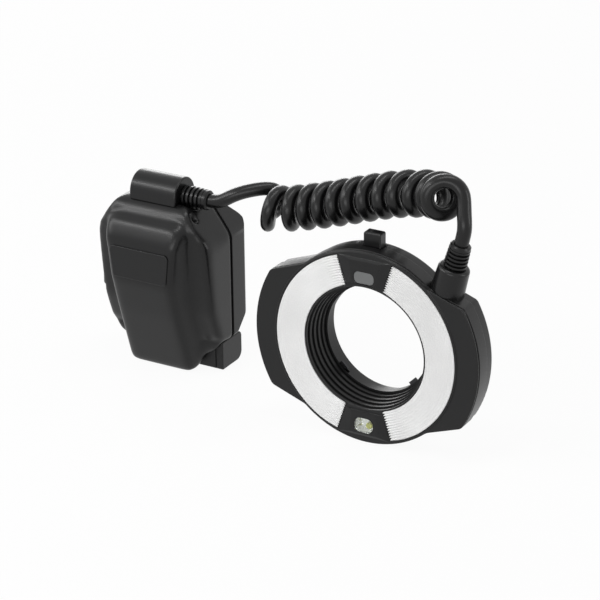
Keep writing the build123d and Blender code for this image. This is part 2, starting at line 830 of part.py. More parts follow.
def shoulder_posts():
    """Two posts under the shoulder screws."""
    post = flat(Circle(screw_post_radius), shoulder_post_bottom, unit_top)
    return [Pos(x, shoulder_screw_depth, 0) * post for x in (-shoulder_screw_x, shoulder_screw_x)]


def shoulder_bores():
    """Holes for the shoulder screws and their sunk heads."""
    sink = flat(Circle(screw_head_radius + seat_gap), shoulder_screw_seat, unit_top)
    bore = flat(Circle(screw_shank_radius), shoulder_screw_seat - screw_shank_length, shoulder_screw_seat)
    return [Pos(x, shoulder_screw_depth, 0) * (sink + bore) for x in (-shoulder_screw_x, shoulder_screw_x)]


def relief_saddle(radius):
    """The trough in the shoulder under the cord's strain relief."""
    tube = sideways(Circle(radius), housing_half_length, unit_half_width)
    return Pos(0, housing_front + housing_radius, housing_axis_height) * tube


def door_opening():
    """The hole in the left flank for the battery door."""
    gap = move_gap
    return block(-unit_half_width - overrun, door_axis_x + door_thickness / 2 + gap, door_front - gap,
                 door_back + gap, door_bottom - gap, door_top + gap)


def control_front_cover(body, hollow):
    cover = body + bulge(0) + skirt()
    cover -= hollow
    cover -= bulge(unit_wall)
    for post in shoulder_posts():
        cover += post & body
    cover += relief_saddle(relief_first_radius + saddle_gap + unit_wall) & body
    cover -= relief_saddle(relief_first_radius + saddle_gap)
    cover -= shoulder_bores()
    cover -= door_opening()
    reach = unit_half_width + overrun
    return cover & block(-reach, reach, 0, unit_parting, 0, unit_top + overrun)


def parting_strip(hollow):
    strip = unit_body(strip_inset) - hollow
    strip -= door_opening()
    reach = unit_half_width + overrun
    return strip & block(-reach, reach, unit_parting, unit_parting + strip_width, 0, unit_top + overrun)


def rear_panel_outline(grow):
    height = rear_panel_top - rear_panel_bottom
    middle = (rear_panel_top + rear_panel_bottom) / 2
    return Pos(0, middle) * RectangleRounded(2 * (rear_panel_half_width + grow), height + 2 * grow,
                                             rear_panel_fillet + grow)


def control_rear_cover(body, hollow):
    reach = unit_half_width + overrun
    cover = (body - hollow) & block(-reach, reach, unit_parting + strip_width, unit_back + overrun,
                                    0, unit_top + overrun)
    cover -= upright(rear_panel_outline(0), unit_back - unit_wall - overrun, unit_back + overrun)
    return cover - door_opening()


def name_panel():
    outline = rounded([(-panel_half_width, panel_top), (panel_half_width, panel_top),
                       (panel_lower_half_width, panel_bottom), (-panel_lower_half_width, panel_bottom)],
                      [panel_corner_fillet] * 2 + [panel_corner_fillet / 2] * 2)
    panel = upright(outline, bulge_front - panel_thickness, bulge_front)
    return fillet(panel.faces().sort_by(Axis.Y)[0].outer_wire().edges(), panel_thickness / 2)


def connector_housing(body):
    low = unit_top - 2 * housing_radius
    back = housing_front + 2 * housing_radius
    outline = Pos(housing_front + housing_radius, housing_axis_height) * Circle(housing_radius)
    outline += Polygon((housing_front, low), (back, low), (back, housing_axis_height),
                       (housing_front, housing_axis_height), align=None)
    shape = sideways(outline, -housing_half_length, housing_half_length)
    ends = shape.faces().filter_by(Axis.X)
    rims = [e for f in (ends.sort_by(Axis.X)[0], ends.sort_by(Axis.X)[-1]) for e in f.outer_wire().edges()]
    shape = fillet([e for e in rims if e.center().Z > low + seat_gap], housing_edge_fillet)
    shape -= body
    return shape.solids().sort_by(Axis.Z)[-1]


def battery_cage():
    half = bay_half
    depth, height = bay_centre_depth, bay_centre_height
    left = door_axis_x + door_thickness / 2 + move_gap
    right = cell_left_end + cell_length + cell_nub_height + contact_thickness + cage_wall
    cage = block(left, right, depth - half, depth + half, height - half, height + half)
    inner = half - cage_wall
    return cage - block(left - overrun, right - cage_wall, depth - inner, depth + inner,
                        height - inner, height + inner)


def cell_places():
    half = cell_pitch / 2
    return [(bay_centre_depth + y, bay_centre_height + z) for y in (-half, half) for z in (-half, half)]


def battery_cells():
    body = sideways(Circle(cell_radius), 0, cell_length)
    nub = sideways(Circle(cell_nub_radius), cell_length, cell_length + cell_nub_height)
    return [Pos(cell_left_end, y, z) * (body + nub) for y, z in cell_places()]


def battery_contacts():
    left = cell_left_end + cell_length + cell_nub_height
    half = contact_half_height
    plate = block(left, left + contact_thickness, -half, half, -half, half)
    return [Pos(0, y, z) * plate for y, z in cell_places()]


def battery_door():
    """A flush door that swings down on a pin along its lower edge."""
    outer, inner = -unit_half_width, -unit_half_width + door_thickness
    plate = block(outer, inner, door_front, door_back, door_axis_height, door_top)
    knuckle = upright(Circle(door_thickness / 2), door_front, door_back)
    plate += Pos(door_axis_x, 0, door_axis_height) * knuckle
    pull = block(outer - overrun, outer + door_pull_depth, (door_front + door_back) / 2 - cell_radius,
                 (door_front + door_back) / 2 + cell_radius, door_top - 2 * door_thickness,
                 door_top - door_thickness)
    plate -= pull
    return plate - Pos(door_axis_x, 0, door_axis_height) * upright(
        Circle(door_pin_radius + lever_clearance), door_front - overrun, door_back + overrun)


def door_pin():
    return Pos(door_axis_x, 0, door_axis_height) * upright(
        Circle(door_pin_radius), door_front - move_gap, door_back + move_gap)


# Rear controls

def key_outline(kind, grow):
    if kind == "slim":
        return RectangleRounded(2 * (key_half_width + grow), 2 * (key_half_height + grow),
                                key_half_height / 2 + grow)
    return Circle((set_key_radius if kind == "set" else round_key_radius) + grow)


def key_places():
    """Each press key: its node, kind and place."""
    first = -(key_row_count - 1) / 2
    keys = [("function_button_" + str(i + 1), "slim", (first + i) * key_row_pitch, key_row_height)
            for i in range(key_row_count)]
    keys.append(("mode_button", "round", mode_key_x, round_key_height))
    keys.append(("lamp_button", "round", lamp_key_x, round_key_height))
    keys.append(("test_button", "round", test_key_x, test_key_height))
    return keys


def key(kind, x, height):
    """A button with a flange behind the panel."""
    back = unit_back - rear_panel_thickness
    cap = upright(key_outline(kind, 0), back, unit_back + key_proud)
    cap = fillet(cap.faces().sort_by(Axis.Y)[-1].edges(), key_proud / 2)
    cap += upright(key_outline(kind, key_flange), back - key_flange_thickness, back)
    return Pos(x, 0, height) * cap


def power_slot():
    """The slot in the panel for the power switch and its travel."""
    half_width, half_height = power_knob_half_width + move_gap, power_knob_half_height + move_gap
    front = unit_back - rear_panel_thickness
    return block(power_x - half_width, power_x + half_width + power_travel, front - overrun,
                 unit_back + overrun, power_height - half_height, power_height + half_height)


def power_switch():
    back = unit_back - rear_panel_thickness
    knob = block(power_x - power_knob_half_width, power_x + power_knob_half_width,
                 back, unit_back + power_proud,
                 power_height - power_knob_half_height, power_height + power_knob_half_height)
    knob = fillet(knob.faces().sort_by(Axis.Y)[-1].edges(), power_fillet)
    grow = key_flange
    knob += block(power_x - power_knob_half_width - grow, power_x + power_knob_half_width + grow,
                  back - key_flange_thickness, back, power_height - power_knob_half_height - grow,
                  power_height + power_knob_half_height + grow)
    return knob


def rear_panel():
    front = unit_back - rear_panel_thickness
    panel = upright(rear_panel_outline(-seat_gap), front, unit_back)
    panel -= upright(lcd_outline(0), front - overrun, unit_back + overrun)
    for node, kind, x, height in key_places():
        hole = upright(key_outline(kind, move_gap), front - overrun, unit_back + overrun)
        panel -= Pos(x, 0, height) * hole
    hub = upright(Circle(dial_hub_radius + lever_clearance), front - overrun, unit_back + overrun)
    panel -= Pos(dial_x, 0, dial_height) * hub
    return panel - power_slot()


def lcd_outline(grow):
    middle = (lcd_top + lcd_bottom) / 2
    height = lcd_top - lcd_bottom
    return Pos(0, middle) * RectangleRounded(2 * (lcd_half_width + grow), height + 2 * grow, lcd_fillet)


def lcd_window():
    return upright(lcd_outline(-seat_gap), unit_back - rear_panel_thickness, unit_back)


def lcd_module():
    back = unit_back - rear_panel_thickness - seat_gap
    return upright(lcd_outline(lcd_fillet), back - lcd_module_thickness, back)


def select_dial():
    """A knurled ring with a hub that turns in the panel."""
    back = unit_back - rear_panel_thickness
    dial = upright(Circle(dial_radius), unit_back + seat_gap, unit_back + dial_proud)
    dial = chamfer(dial.faces().sort_by(Axis.Y)[-1].edges(), dial_chamfer)
    notch = upright(Circle(dial_notch_radius), unit_back, unit_back + dial_proud + overrun)
    for i in range(dial_notch_count):
        angle = 2 * math.pi * i / dial_notch_count
        dial -= Pos(dial_radius * math.cos(angle), 0, dial_radius * math.sin(angle)) * notch
    dial += upright(Circle(dial_hub_radius), back - key_flange_thickness, unit_back + seat_gap)
    bore = upright(Circle(dial_bore_radius), back - key_flange_thickness - overrun,
                   unit_back + dial_proud + overrun)
    return Pos(dial_x, 0, dial_height) * (dial - bore)


def set_button():
    """The key in the middle of the dial, on its own stem."""
    front = key_mat_front + key_mat_thickness + key_travel + seat_gap
    cap = upright(Circle(set_key_radius), front, unit_back + set_key_proud)
    cap = fillet(cap.faces().sort_by(Axis.Y)[-1].edges(), key_proud / 2)
    return Pos(dial_x, 0, dial_height) * cap


def key_mat():
    front = key_mat_front
    low = rear_panel_bottom + unit_wall
    return block(-rear_panel_half_width + unit_wall, rear_panel_half_width - unit_wall, front,
                 front + key_mat_thickness, low, key_row_height + key_half_height + key_flange)


def control_board():
    low = rear_panel_bottom + unit_wall
    return block(-rear_panel_half_width + unit_wall, rear_panel_half_width - unit_wall, board_front,
                 board_front + board_thickness, low, rear_panel_top - unit_wall)


def main_capacitor():
    can = sideways(Circle(capacitor_radius), -capacitor_half_length, capacitor_half_length)
    can = fillet(can.edges().filter_by(GeomType.CIRCLE), capacitor_fillet)
    return Pos(0, capacitor_depth, capacitor_height) * can


# Foot

def foot_base(body):
    half = foot_block_half_depth
    base = block(-foot_block_half_width, foot_block_half_width, foot_depth - half, foot_depth + half,
                 foot_block_bottom, unit_base + unit_rear_chamfer)
    base -= body
    base = base.solids().sort_by(Axis.Z)[0]
    base += Pos(0, foot_depth, 0) * flat(Circle(foot_post_radius), foot_post_bottom, foot_block_bottom)
    bore = flat(Circle(pin_radius + lever_clearance), foot_post_bottom - overrun, pin_top + overrun)
    return base - Pos(0, foot_depth - pin_offset, 0) * bore


def shoe_plate():
    neck_top = shoe_thickness + shoe_neck_height
    plate = flat(Rectangle(2 * shoe_half_width, 2 * shoe_half_length), 0, shoe_thickness)
    plate = chamfer(plate.edges().filter_by(Axis.Z), shoe_chamfer)
    neck_outline = Rectangle(2 * shoe_neck_half_width, 2 * shoe_half_length - shoe_thickness)
    neck = flat(neck_outline, shoe_thickness, neck_top)
    disc = flat(Circle(shoe_disc_radius), neck_top, foot_post_bottom)
    shoe = plate + neck + disc
    bore = flat(Circle(pin_radius + lever_clearance), -overrun, foot_post_bottom + overrun)
    shoe -= Pos(0, -pin_offset, 0) * bore
    for x, y in contact_places():
        shoe -= Pos(x, y, 0) * flat(Circle(contact_pin_radius + seat_gap), -overrun, shoe_thickness)
    return Pos(0, foot_depth, 0) * shoe


def contact_places():
    step = contact_pin_offset
    return [(0, 0), (-step, step), (step, step), (-step, 2 * step), (step, 2 * step)]


def shoe_pins():
    pin = flat(Circle(contact_pin_radius), seat_gap, shoe_thickness)
    return [Pos(x, foot_depth + y, 0) * pin for x, y in contact_places()]


def lock_pin():
    pin = flat(Circle(pin_radius), pin_bottom, pin_top)
    return Pos(0, foot_depth - pin_offset, 0) * pin


def lock_lever():
    hub = flat(Circle(lever_outer_radius), lever_bottom, lever_top)
    lever = Pos(0, foot_depth, 0) * hub
    lever += block(lever_outer_radius / 2, lever_block_inner + overrun, foot_depth - lever_arm_half_depth,
                   foot_depth + lever_arm_half_depth, lever_bottom, lever_top)
    lever -= Pos(0, foot_depth, 0) * flat(Circle(foot_post_radius + lever_clearance), 0, lever_top + overrun)
    outline = rounded(
        [(lever_block_front, lever_block_bottom), (lever_block_back, lever_block_bottom),
         (lever_block_back, lever_block_top), (lever_block_front, lever_block_top)],
        [unit_small_fillet / 2, lever_rear_fillet, lever_top_fillet, lever_edge_fillet])
    tab = sideways(outline, lever_block_inner, lever_block_outer)
    tab = fillet(tab.faces().sort_by(Axis.X)[-1].outer_wire().edges(), lever_edge_fillet)
    groove_x = lever_block_outer - lever_groove_offset
    tab -= block(groove_x, groove_x + lever_groove_width,
                 lever_block_front - overrun, lever_block_front + lever_groove_width,
                 lever_block_bottom - overrun, lever_block_top + overrun)
    return lever + tab


def control_screws():
    """The two shoulder screws and the two that hold the shoe."""
    head = flat(Circle(screw_head_radius), shoulder_screw_seat, shoulder_screw_seat + screw_head_height)
    slot = screw_shank_radius * screw_slot_share
    head -= flat(Rectangle(screw_head_radius, slot) + Rectangle(slot, screw_head_radius),
                 shoulder_screw_seat + screw_head_height / 2,
                 shoulder_screw_seat + screw_head_height + overrun)
    head += flat(Circle(screw_shank_radius), shoulder_screw_seat - screw_shank_length, shoulder_screw_seat)
    return [Pos(x, shoulder_screw_depth, 0) * head for x in (-shoulder_screw_x, shoulder_screw_x)]


# Cord

def coil_axis(share):
    """A point on the coil's axis, for a share of the way between its ends."""
    s = share
    if s > coil_slow_share:
        s = coil_slow_share + coil_slow_reach * (1 - math.exp((coil_slow_share - s) / coil_slow_reach))
    a, b = Vector(*coil_start), Vector(*coil_end)
    reach = (b - a).length
    m = Vector(*coil_start_slope).normalized() * reach
    n = Vector(*coil_end_slope).normalized() * reach
    point = a * (2 * s**3 - 3 * s**2 + 1) + m * (s**3 - 2 * s**2 + s)
    point += b * (3 * s**2 - 2 * s**3) + n * (s**3 - s**2)
    last = (coil_quarter_turns + coil_first_quarter) / coil_even_quarters
    swing = max(0, (share - coil_swing_share) / (last - coil_swing_share))
    fan = max(0, (coil_fan_share - share) / coil_fan_share)
    return point + Vector(*coil_swing) * swing**2 + Vector(*coil_fan) * fan**2


def coil_point(quarter):
    """A point on the cord's centre line, so many quarter turns from the coil's start."""
    turned_by = quarter + coil_first_quarter
    share = turned_by / coil_even_quarters
    step = 1 / coil_even_quarters / coil_samples
    way = (coil_axis(share + step) - coil_axis(share - step)).normalized()
    up = (Vector(0, 0, 1) - way * way.Z).normalized()
    front = way.cross(up)
    angle = math.radians(-90 - 90 * turned_by)
    return coil_axis(share) + (up * math.cos(angle) + front * math.sin(angle)) * coil_radius


def coil_way(quarter):
    """The way the cord runs at a point of the coil."""
    step = 1 / coil_samples**2
    return (coil_point(quarter + step) - coil_point(quarter - step)).normalized()


def biarc(start, start_way, end, end_way):
    """Two tangent arcs from one point and direction to another."""
    span = end - start
    both = start_way + end_way
    spread = 2 * (1 - start_way.dot(end_way))
    along = span.dot(both)
    reach = (-along + math.sqrt(along**2 + spread * span.dot(span))) / spread
    q0, q1 = start + start_way * reach, end - end_way * reach
    joint = (q0 + q1) / 2
    way = (q1 - q0).normalized()
    return [Edge.make_tangent_arc(start, start_way, joint), Edge.make_tangent_arc(joint, way, end)]


def coil_ends():
    """Where the coil's straight ends stop, and the way the cord runs there."""
    straight = 2 * cord_radius
    first, last = coil_way(0), coil_way(coil_quarter_turns)
    return coil_point(0) - first * straight, first, coil_point(coil_quarter_turns) + last * straight, last


def cord_coil():
    start, first, end, last = coil_ends()
    edges = [Edge.make_line(start, coil_point(0))]
    for i in range(coil_quarter_turns):
        edges += biarc(coil_point(i), coil_way(i), coil_point(i + 1), coil_way(i + 1))
    edges.append(Edge.make_line(coil_point(coil_quarter_turns), end))
    path = Wire(edges)
    return sweep(Plane(start, z_dir=first) * Circle(cord_radius), path=path), path


def least_gap():
    """The least gap between the coil's turns, measured on points."""
    count = coil_quarter_turns * coil_samples
    points = [coil_point(i / coil_samples) for i in range(count + 1)]
    apart = 2 * coil_samples
    least = min((points[i] - points[j]).length for i in range(count) for j in range(i + apart, count + 1))
    return least - 2 * cord_radius


def corner_radii(points):
    """The radius of each corner's arc: a share of its shorter run over the tangent of half its turn."""
    radii = []
    for a, b, c in zip(points, points[1:], points[2:]):
        turn = math.radians((b - a).get_angle(c - b))
        radii.append(lead_corner_share * min((b - a).length, (c - b).length) / math.tan(turn / 2))
    return radii


def cord_tube(points, name):
    """A tube on straight runs joined by tangent arcs."""
    radii = corner_radii(points)
    print(name, "radii", [round(r, 1) for r in radii])
    path = FilletPolyline(*points, radius=radii)
    tube = sweep(Plane(points[0], z_dir=points[1] - points[0]) * Circle(cord_radius), path=path)
    ideal = math.pi * cord_radius**2 * path.length
    print(name, "length", round(path.length, 1), "volume share", round(tube.volume / ideal, 4))
    return tube, path.length


def control_exit():
    """The face of the control unit's strain relief, from the ring's centre."""
    x = housing_half_length + control_relief_length - axis_spacing
    return Vector(x, housing_front + housing_radius, housing_axis_height - ring_radius)


def make_ring():
    outline = ring_outline()
    save(ring_front_cover(outline), ring_place, "ring_front_cover")
    save(ring_rear_cover(outline), ring_place, "ring_rear_cover")
    save(inner_barrel(), ring_place, "inner_barrel")
    save(lens_collar(), ring_place, "lens_collar")
    for side, word in ((-1, "left"), (1, "right")):
        save(window(side), ring_place, "window_" + word)
        save(reflector(side), ring_place, "reflector_" + word)
        save(flash_tube(side), ring_place, "flash_tube_" + word)
    lamps = {"top": (top_lamp_radius, top_lamp_width, top_lamp_height),
             "bottom": (-bottom_lamp_radius, bottom_lamp_width, bottom_lamp_height)}
    for word, (radius, width, height) in lamps.items():
        save(lamp_bezel(radius, width, height), ring_place, "lamp_bezel_" + word)
        save(lamp_lens(radius, width, height), ring_place, "lamp_lens_" + word)
        save(lamp_led(radius, width), ring_place, "lamp_led_" + word)
    save(ring_board(), ring_place, "ring_board")
    save(release_button(), ring_place, "release_button")
    save(latch_yoke(), ring_place, "latch_yoke")
    save(release_springs(), ring_place, "release_springs")
    save(cord_boss(outline), ring_place, "cord_boss")
    save(boss_frame(boss_length) * strain_relief(ring_relief_length), ring_place, "ring_strain_relief")
    save(ring_screws(), ring_place, "ring_screws")


def make_unit():
    body, hollow = unit_body(0), unit_body(unit_wall)
    save(control_front_cover(body, hollow), unit_place, "control_front_cover")
    save(parting_strip(hollow), unit_place, "parting_strip")
    save(control_rear_cover(body, hollow), unit_place, "control_rear_cover")
    save(name_panel(), unit_place, "name_panel")
    save(connector_housing(body), unit_place, "connector_housing")
    relief_place = Plane((housing_half_length, housing_front + housing_radius, housing_axis_height),
                         x_dir=(0, 1, 0), z_dir=(1, 0, 0))
    save(relief_place * strain_relief(control_relief_length), unit_place, "control_strain_relief")
    save(battery_cage(), unit_place, "battery_cage")
    save(battery_cells(), unit_place, "battery_cells")
    save(battery_contacts(), unit_place, "battery_contacts")
    save(battery_door(), unit_place, "battery_door")
    save(door_pin(), unit_place, "door_pin")
    save(main_capacitor(), unit_place, "main_capacitor")
    save(foot_base(body), unit_place, "foot_base")
    save(shoe_plate(), unit_place, "shoe_plate")
    save(shoe_pins(), unit_place, "shoe_pins")
    save(lock_pin(), unit_place, "lock_pin")
    save(lock_lever(), unit_place, "lock_lever")
    save(control_screws(), unit_place, "control_screws")


def make_rear_controls():
    for node, kind, x, height in key_places():
        save(key(kind, x, height), unit_place, node)
    save(set_button(), unit_place, "set_button")
    save(select_dial(), unit_place, "select_dial")
    save(power_switch(), unit_place, "power_switch")
    save(rear_panel(), unit_place, "rear_panel")
    save(lcd_window(), unit_place, "lcd_window")
    save(lcd_module(), unit_place, "lcd_module")
    save(key_mat(), unit_place, "key_mat")
    save(control_board(), unit_place, "control_board")


def make_cord():
    coil, path = cord_coil()
    print("coil least gap", round(least_gap(), 2), "length", round(path.length, 1), "volume share",
          round(coil.volume / (math.pi * cord_radius**2 * path.length), 4))
    save(coil, ring_place, "cord_coil")
    total = path.length
    start, first, end, last = coil_ends()
    away = control_exit()
    route = [away, away + Vector(lead_first_run, 0, 0)] + [Vector(*p) for p in lead_control_points]
    route += [start - first * lead_coil_run, start]
    tube, length = cord_tube(route, "cord_lead_control")
    save(tube, ring_place, "cord_lead_control")
    total += length
    ring_exit = boss_frame(boss_length + ring_relief_length)
    route = [end, end + last * lead_ring_coil_run, ring_exit.origin + ring_exit.z_dir * lead_last_run,
             ring_exit.origin]
    print("ring lead", [tuple(round(c, 1) for c in p) for p in route])
    tube, length = cord_tube(route, "cord_lead_ring")
    save(tube, ring_place, "cord_lead_ring")
    print("cord length", round(total + length, 1))


os.makedirs("parts", exist_ok=True)
make_ring()
make_unit()
make_rear_controls()
make_cord()
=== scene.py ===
import json
import math

import bmesh
import bpy
from mathutils import Matrix, Vector
from mathutils.bvhtree import BVHTree


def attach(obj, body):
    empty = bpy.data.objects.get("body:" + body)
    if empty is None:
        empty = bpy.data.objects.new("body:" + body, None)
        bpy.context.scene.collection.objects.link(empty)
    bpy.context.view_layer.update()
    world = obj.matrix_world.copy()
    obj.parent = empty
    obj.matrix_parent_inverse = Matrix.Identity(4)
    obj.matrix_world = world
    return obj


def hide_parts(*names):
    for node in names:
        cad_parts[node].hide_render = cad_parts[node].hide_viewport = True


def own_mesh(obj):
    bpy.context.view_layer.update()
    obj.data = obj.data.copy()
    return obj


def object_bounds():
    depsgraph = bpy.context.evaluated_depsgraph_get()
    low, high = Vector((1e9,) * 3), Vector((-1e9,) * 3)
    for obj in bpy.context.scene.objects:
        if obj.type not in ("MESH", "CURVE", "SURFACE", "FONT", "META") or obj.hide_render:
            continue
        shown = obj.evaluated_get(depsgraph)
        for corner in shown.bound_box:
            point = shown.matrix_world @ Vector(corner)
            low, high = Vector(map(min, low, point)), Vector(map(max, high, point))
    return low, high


# Macro ring flash: looks for the ring head, the control unit and the curly cord between them.
# Metres, X across, Y away from the subject, Z up. Tables of sizes are in millimetres.

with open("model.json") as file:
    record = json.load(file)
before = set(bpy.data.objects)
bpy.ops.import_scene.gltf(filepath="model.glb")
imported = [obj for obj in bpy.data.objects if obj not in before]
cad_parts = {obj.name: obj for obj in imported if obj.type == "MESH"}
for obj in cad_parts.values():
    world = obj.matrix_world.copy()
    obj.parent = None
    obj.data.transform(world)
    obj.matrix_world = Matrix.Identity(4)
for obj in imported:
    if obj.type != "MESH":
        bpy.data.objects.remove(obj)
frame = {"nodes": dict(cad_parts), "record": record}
cadBox = [list(corner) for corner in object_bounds()]
nodes = frame["nodes"]
scene = bpy.context.scene
mm = 0.001
print("frame loaded,", len(nodes), "nodes")

ringCentre = Vector((55.75, -31.9, 52.3)) * mm  # on the optical axis, in the ring's front plane
unitOrigin = Vector((-83.75, -31.9, 0.0)) * mm  # under the control unit, in the same plane


# Camera, floor and light

cameraView = {
    "azimuth": 30.113,
    "elevation": 23.808,
    "roll": -0.627,
    "place": (0.59169, -1.01919, 0.57483),
    "lens": 148.77,
    "sensorWidth": 36,
    "farthest": 20,
}


def addCamera(values):
    azimuth, elevation, roll = (math.radians(values[k]) for k in ("azimuth", "elevation", "roll"))
    back = Vector((math.sin(azimuth) * math.cos(elevation), -math.cos(azimuth) * math.cos(elevation),
                   math.sin(elevation)))
    level = Vector((math.cos(azimuth), math.sin(azimuth), 0))
    upright = back.cross(level)
    right = level * math.cos(roll) + upright * math.sin(roll)
    up = upright * math.cos(roll) - level * math.sin(roll)
    camera = bpy.data.objects.new("camera", bpy.data.cameras.new("camera"))
    scene.collection.objects.link(camera)
    camera.data.lens = values["lens"]
    camera.data.sensor_width = values["sensorWidth"]
    camera.data.clip_end = values["farthest"]
    turn = Matrix((right, up, back)).transposed().to_4x4()
    camera.matrix_world = Matrix.Translation(values["place"]) @ turn
    scene.camera = camera


studio = {
    "floorSize": 6.0,
    "floorColour": (0.93, 0.93, 0.93, 1),
    "floorRoughness": 0.9,
    "floorDrop": 0.2,  # millimetres from the object's lowest point down to the floor
    "shadowShare": 0.06,  # how much of the floor's real shade the camera sees
    "floorGlow": 1.0,  # 1 is white
    "worldLevel": 0.13,
    "lamps": [  # name, place, aims at, width, height, watts
        ("keyLeft", (-1.1, -0.6, 0.7), (-0.05, 0, 0.06), 0.6, 0.8, 5.6),
        ("overhead", (0.1, -0.05, 1.3), (0, 0, 0.06), 1.3, 0.2, 6.0),
        ("frontTop", (-0.6, -0.9, 0.86), (-0.04, 0, 0.08), 0.55, 0.12, 3.6),
        ("backLeft", (-0.9, 1.15, 0.4), (0, 0, 0.06), 0.8, 0.5, 6.0),
        ("sideRight", (1.3, 0.35, 0.45), (0.05, 0, 0.06), 0.25, 0.9, 3.4),
        ("front", (0.25, -1.4, 0.3), (0, 0, 0.05), 1.0, 0.5, 5.2),
    ],
}


def addLamp(name, place, aim, width, height, watts):
    lamp = bpy.data.lights.new(name, "AREA")
    lamp.shape = "RECTANGLE"
    lamp.size = width
    lamp.size_y = height
    lamp.energy = watts
    holder = bpy.data.objects.new(name, lamp)
    scene.collection.objects.link(holder)
    holder.location = place
    holder.rotation_euler = (Vector(aim) - Vector(place)).to_track_quat("-Z", "Y").to_euler()


def seenDirectly(tree):
    # 1 for what the camera sees itself, in a reflection or through glass
    rays = tree.nodes.new("ShaderNodeLightPath").outputs
    seen = mathNode(tree, "MAXIMUM", rays["Is Camera Ray"], rays["Is Transmission Ray"])
    return mathNode(tree, "MAXIMUM", seen, rays["Is Glossy Ray"])


def addFloor(values):
    material = bpy.data.materials.new("paperFloor")
    material.use_nodes = True
    tree = material.node_tree
    shader = tree.nodes["Principled BSDF"]
    shader.inputs["Base Color"].default_value = values["floorColour"]
    shader.inputs["Roughness"].default_value = values["floorRoughness"]
    glow = tree.nodes.new("ShaderNodeEmission")
    glow.inputs["Strength"].default_value = values["floorGlow"]
    seen = seenDirectly(tree)
    share = mathNode(tree, "MULTIPLY", seen, 1 - values["shadowShare"])
    mix = tree.nodes.new("ShaderNodeMixShader")
    tree.links.new(share, mix.inputs[0])
    tree.links.new(shader.outputs[0], mix.inputs[1])
    tree.links.new(glow.outputs[0], mix.inputs[2])
    tree.links.new(mix.outputs[0], tree.nodes["Material Output"].inputs["Surface"])
    build = bmesh.new()
    bmesh.ops.create_grid(build, x_segments=1, y_segments=1, size=values["floorSize"])
    bmesh.ops.translate(build, verts=build.verts, vec=(0, 0, cadBox[0][2] - values["floorDrop"] * mm))
    floor = meshPiece("floor", build, material)


def addWorld(values):
    world = bpy.data.worlds.new("studio")
    scene.world = world
    world.use_nodes = True
    tree = world.node_tree
    soft = tree.nodes["Background"]
    soft.inputs["Color"].default_value = (1, 1, 1, 1)
    soft.inputs["Strength"].default_value = values["worldLevel"]
    white = tree.nodes.new("ShaderNodeBackground")
    white.inputs["Color"].default_value = (1, 1, 1, 1)
    seen = seenDirectly(tree)
    mix = tree.nodes.new("ShaderNodeMixShader")
    tree.links.new(seen, mix.inputs[0])
    tree.links.new(soft.outputs[0], mix.inputs[1])
    tree.links.new(white.outputs[0], mix.inputs[2])
    tree.links.new(mix.outputs[0], tree.nodes["World Output"].inputs["Surface"])


# Small helpers for shader trees and meshes

def mathNode(tree, operation, first, second=0.0):
    node = tree.nodes.new("ShaderNodeMath")
    node.operation = operation
    for socket, value in zip(node.inputs, (first, second)):
        if isinstance(value, (int, float)):
            socket.default_value = value
        else:
            tree.links.new(value, socket)
    return node.outputs[0]


def noiseNode(tree, vector, scale, detail=2.0):
    node = tree.nodes.new("ShaderNodeTexNoise")
    node.inputs["Detail"].default_value = detail
    tree.links.new(vector, node.inputs["Vector"])
    if isinstance(scale, (int, float)):
        node.inputs["Scale"].default_value = scale
    else:
        tree.links.new(scale, node.inputs["Scale"])
    return node.outputs["Fac"]


def mixColour(tree, share, first, second):
    node = tree.nodes.new("ShaderNodeMix")
    node.data_type = "RGBA"
    tree.links.new(share, node.inputs["Factor"])
    for socket, value in ((node.inputs[6], first), (node.inputs[7], second)):
        if isinstance(value, tuple):
            socket.default_value = value
        else:
            tree.links.new(value, socket)
    return node.outputs[2]


def meshPiece(name, build, material, smoothAngle=None):
    mesh = bpy.data.meshes.new(name)
    build.to_mesh(mesh)
    build.free()
    mesh.materials.append(material)
    if smoothAngle is not None:
        mesh.shade_smooth()
        mesh.set_sharp_from_angle(angle=math.radians(smoothAngle))
    piece = bpy.data.objects.new(name, mesh)
    scene.collection.objects.link(piece)
    return piece


def mount(piece, body, slot, *replaced):
    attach(piece, body)
    if replaced:
        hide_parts(*replaced)
    return piece


scene.view_settings.view_transform = "Standard"
addCamera(cameraView)
addWorld(studio)
addFloor(studio)
for lamp in studio["lamps"]:
    addLamp(*lamp)
print("camera, floor and lamps placed")


# Shader groups that several finishes share

def newGroup(name, inputs, outputs):
    group = bpy.data.node_groups.new(name, "ShaderNodeTree")
    for label, kind, value in inputs:
        socket = group.interface.new_socket(label, in_out="INPUT", socket_type=kind)
        if value is not None:
            socket.default_value = value
    for label, kind in outputs:
        group.interface.new_socket(label, in_out="OUTPUT", socket_type=kind)
    return group, group.nodes.new("NodeGroupInput").outputs, group.nodes.new("NodeGroupOutput").inputs


skinNoise = {
    "coarseScale": 0.35,  # of the grain's own
    "grainShare": 0.6,
    "driftScale": 28.0,
    "speckle": 0.5,
}
brushNoise = {
    "detail": 4.0,
    "roughnessReach": 0.25,
}


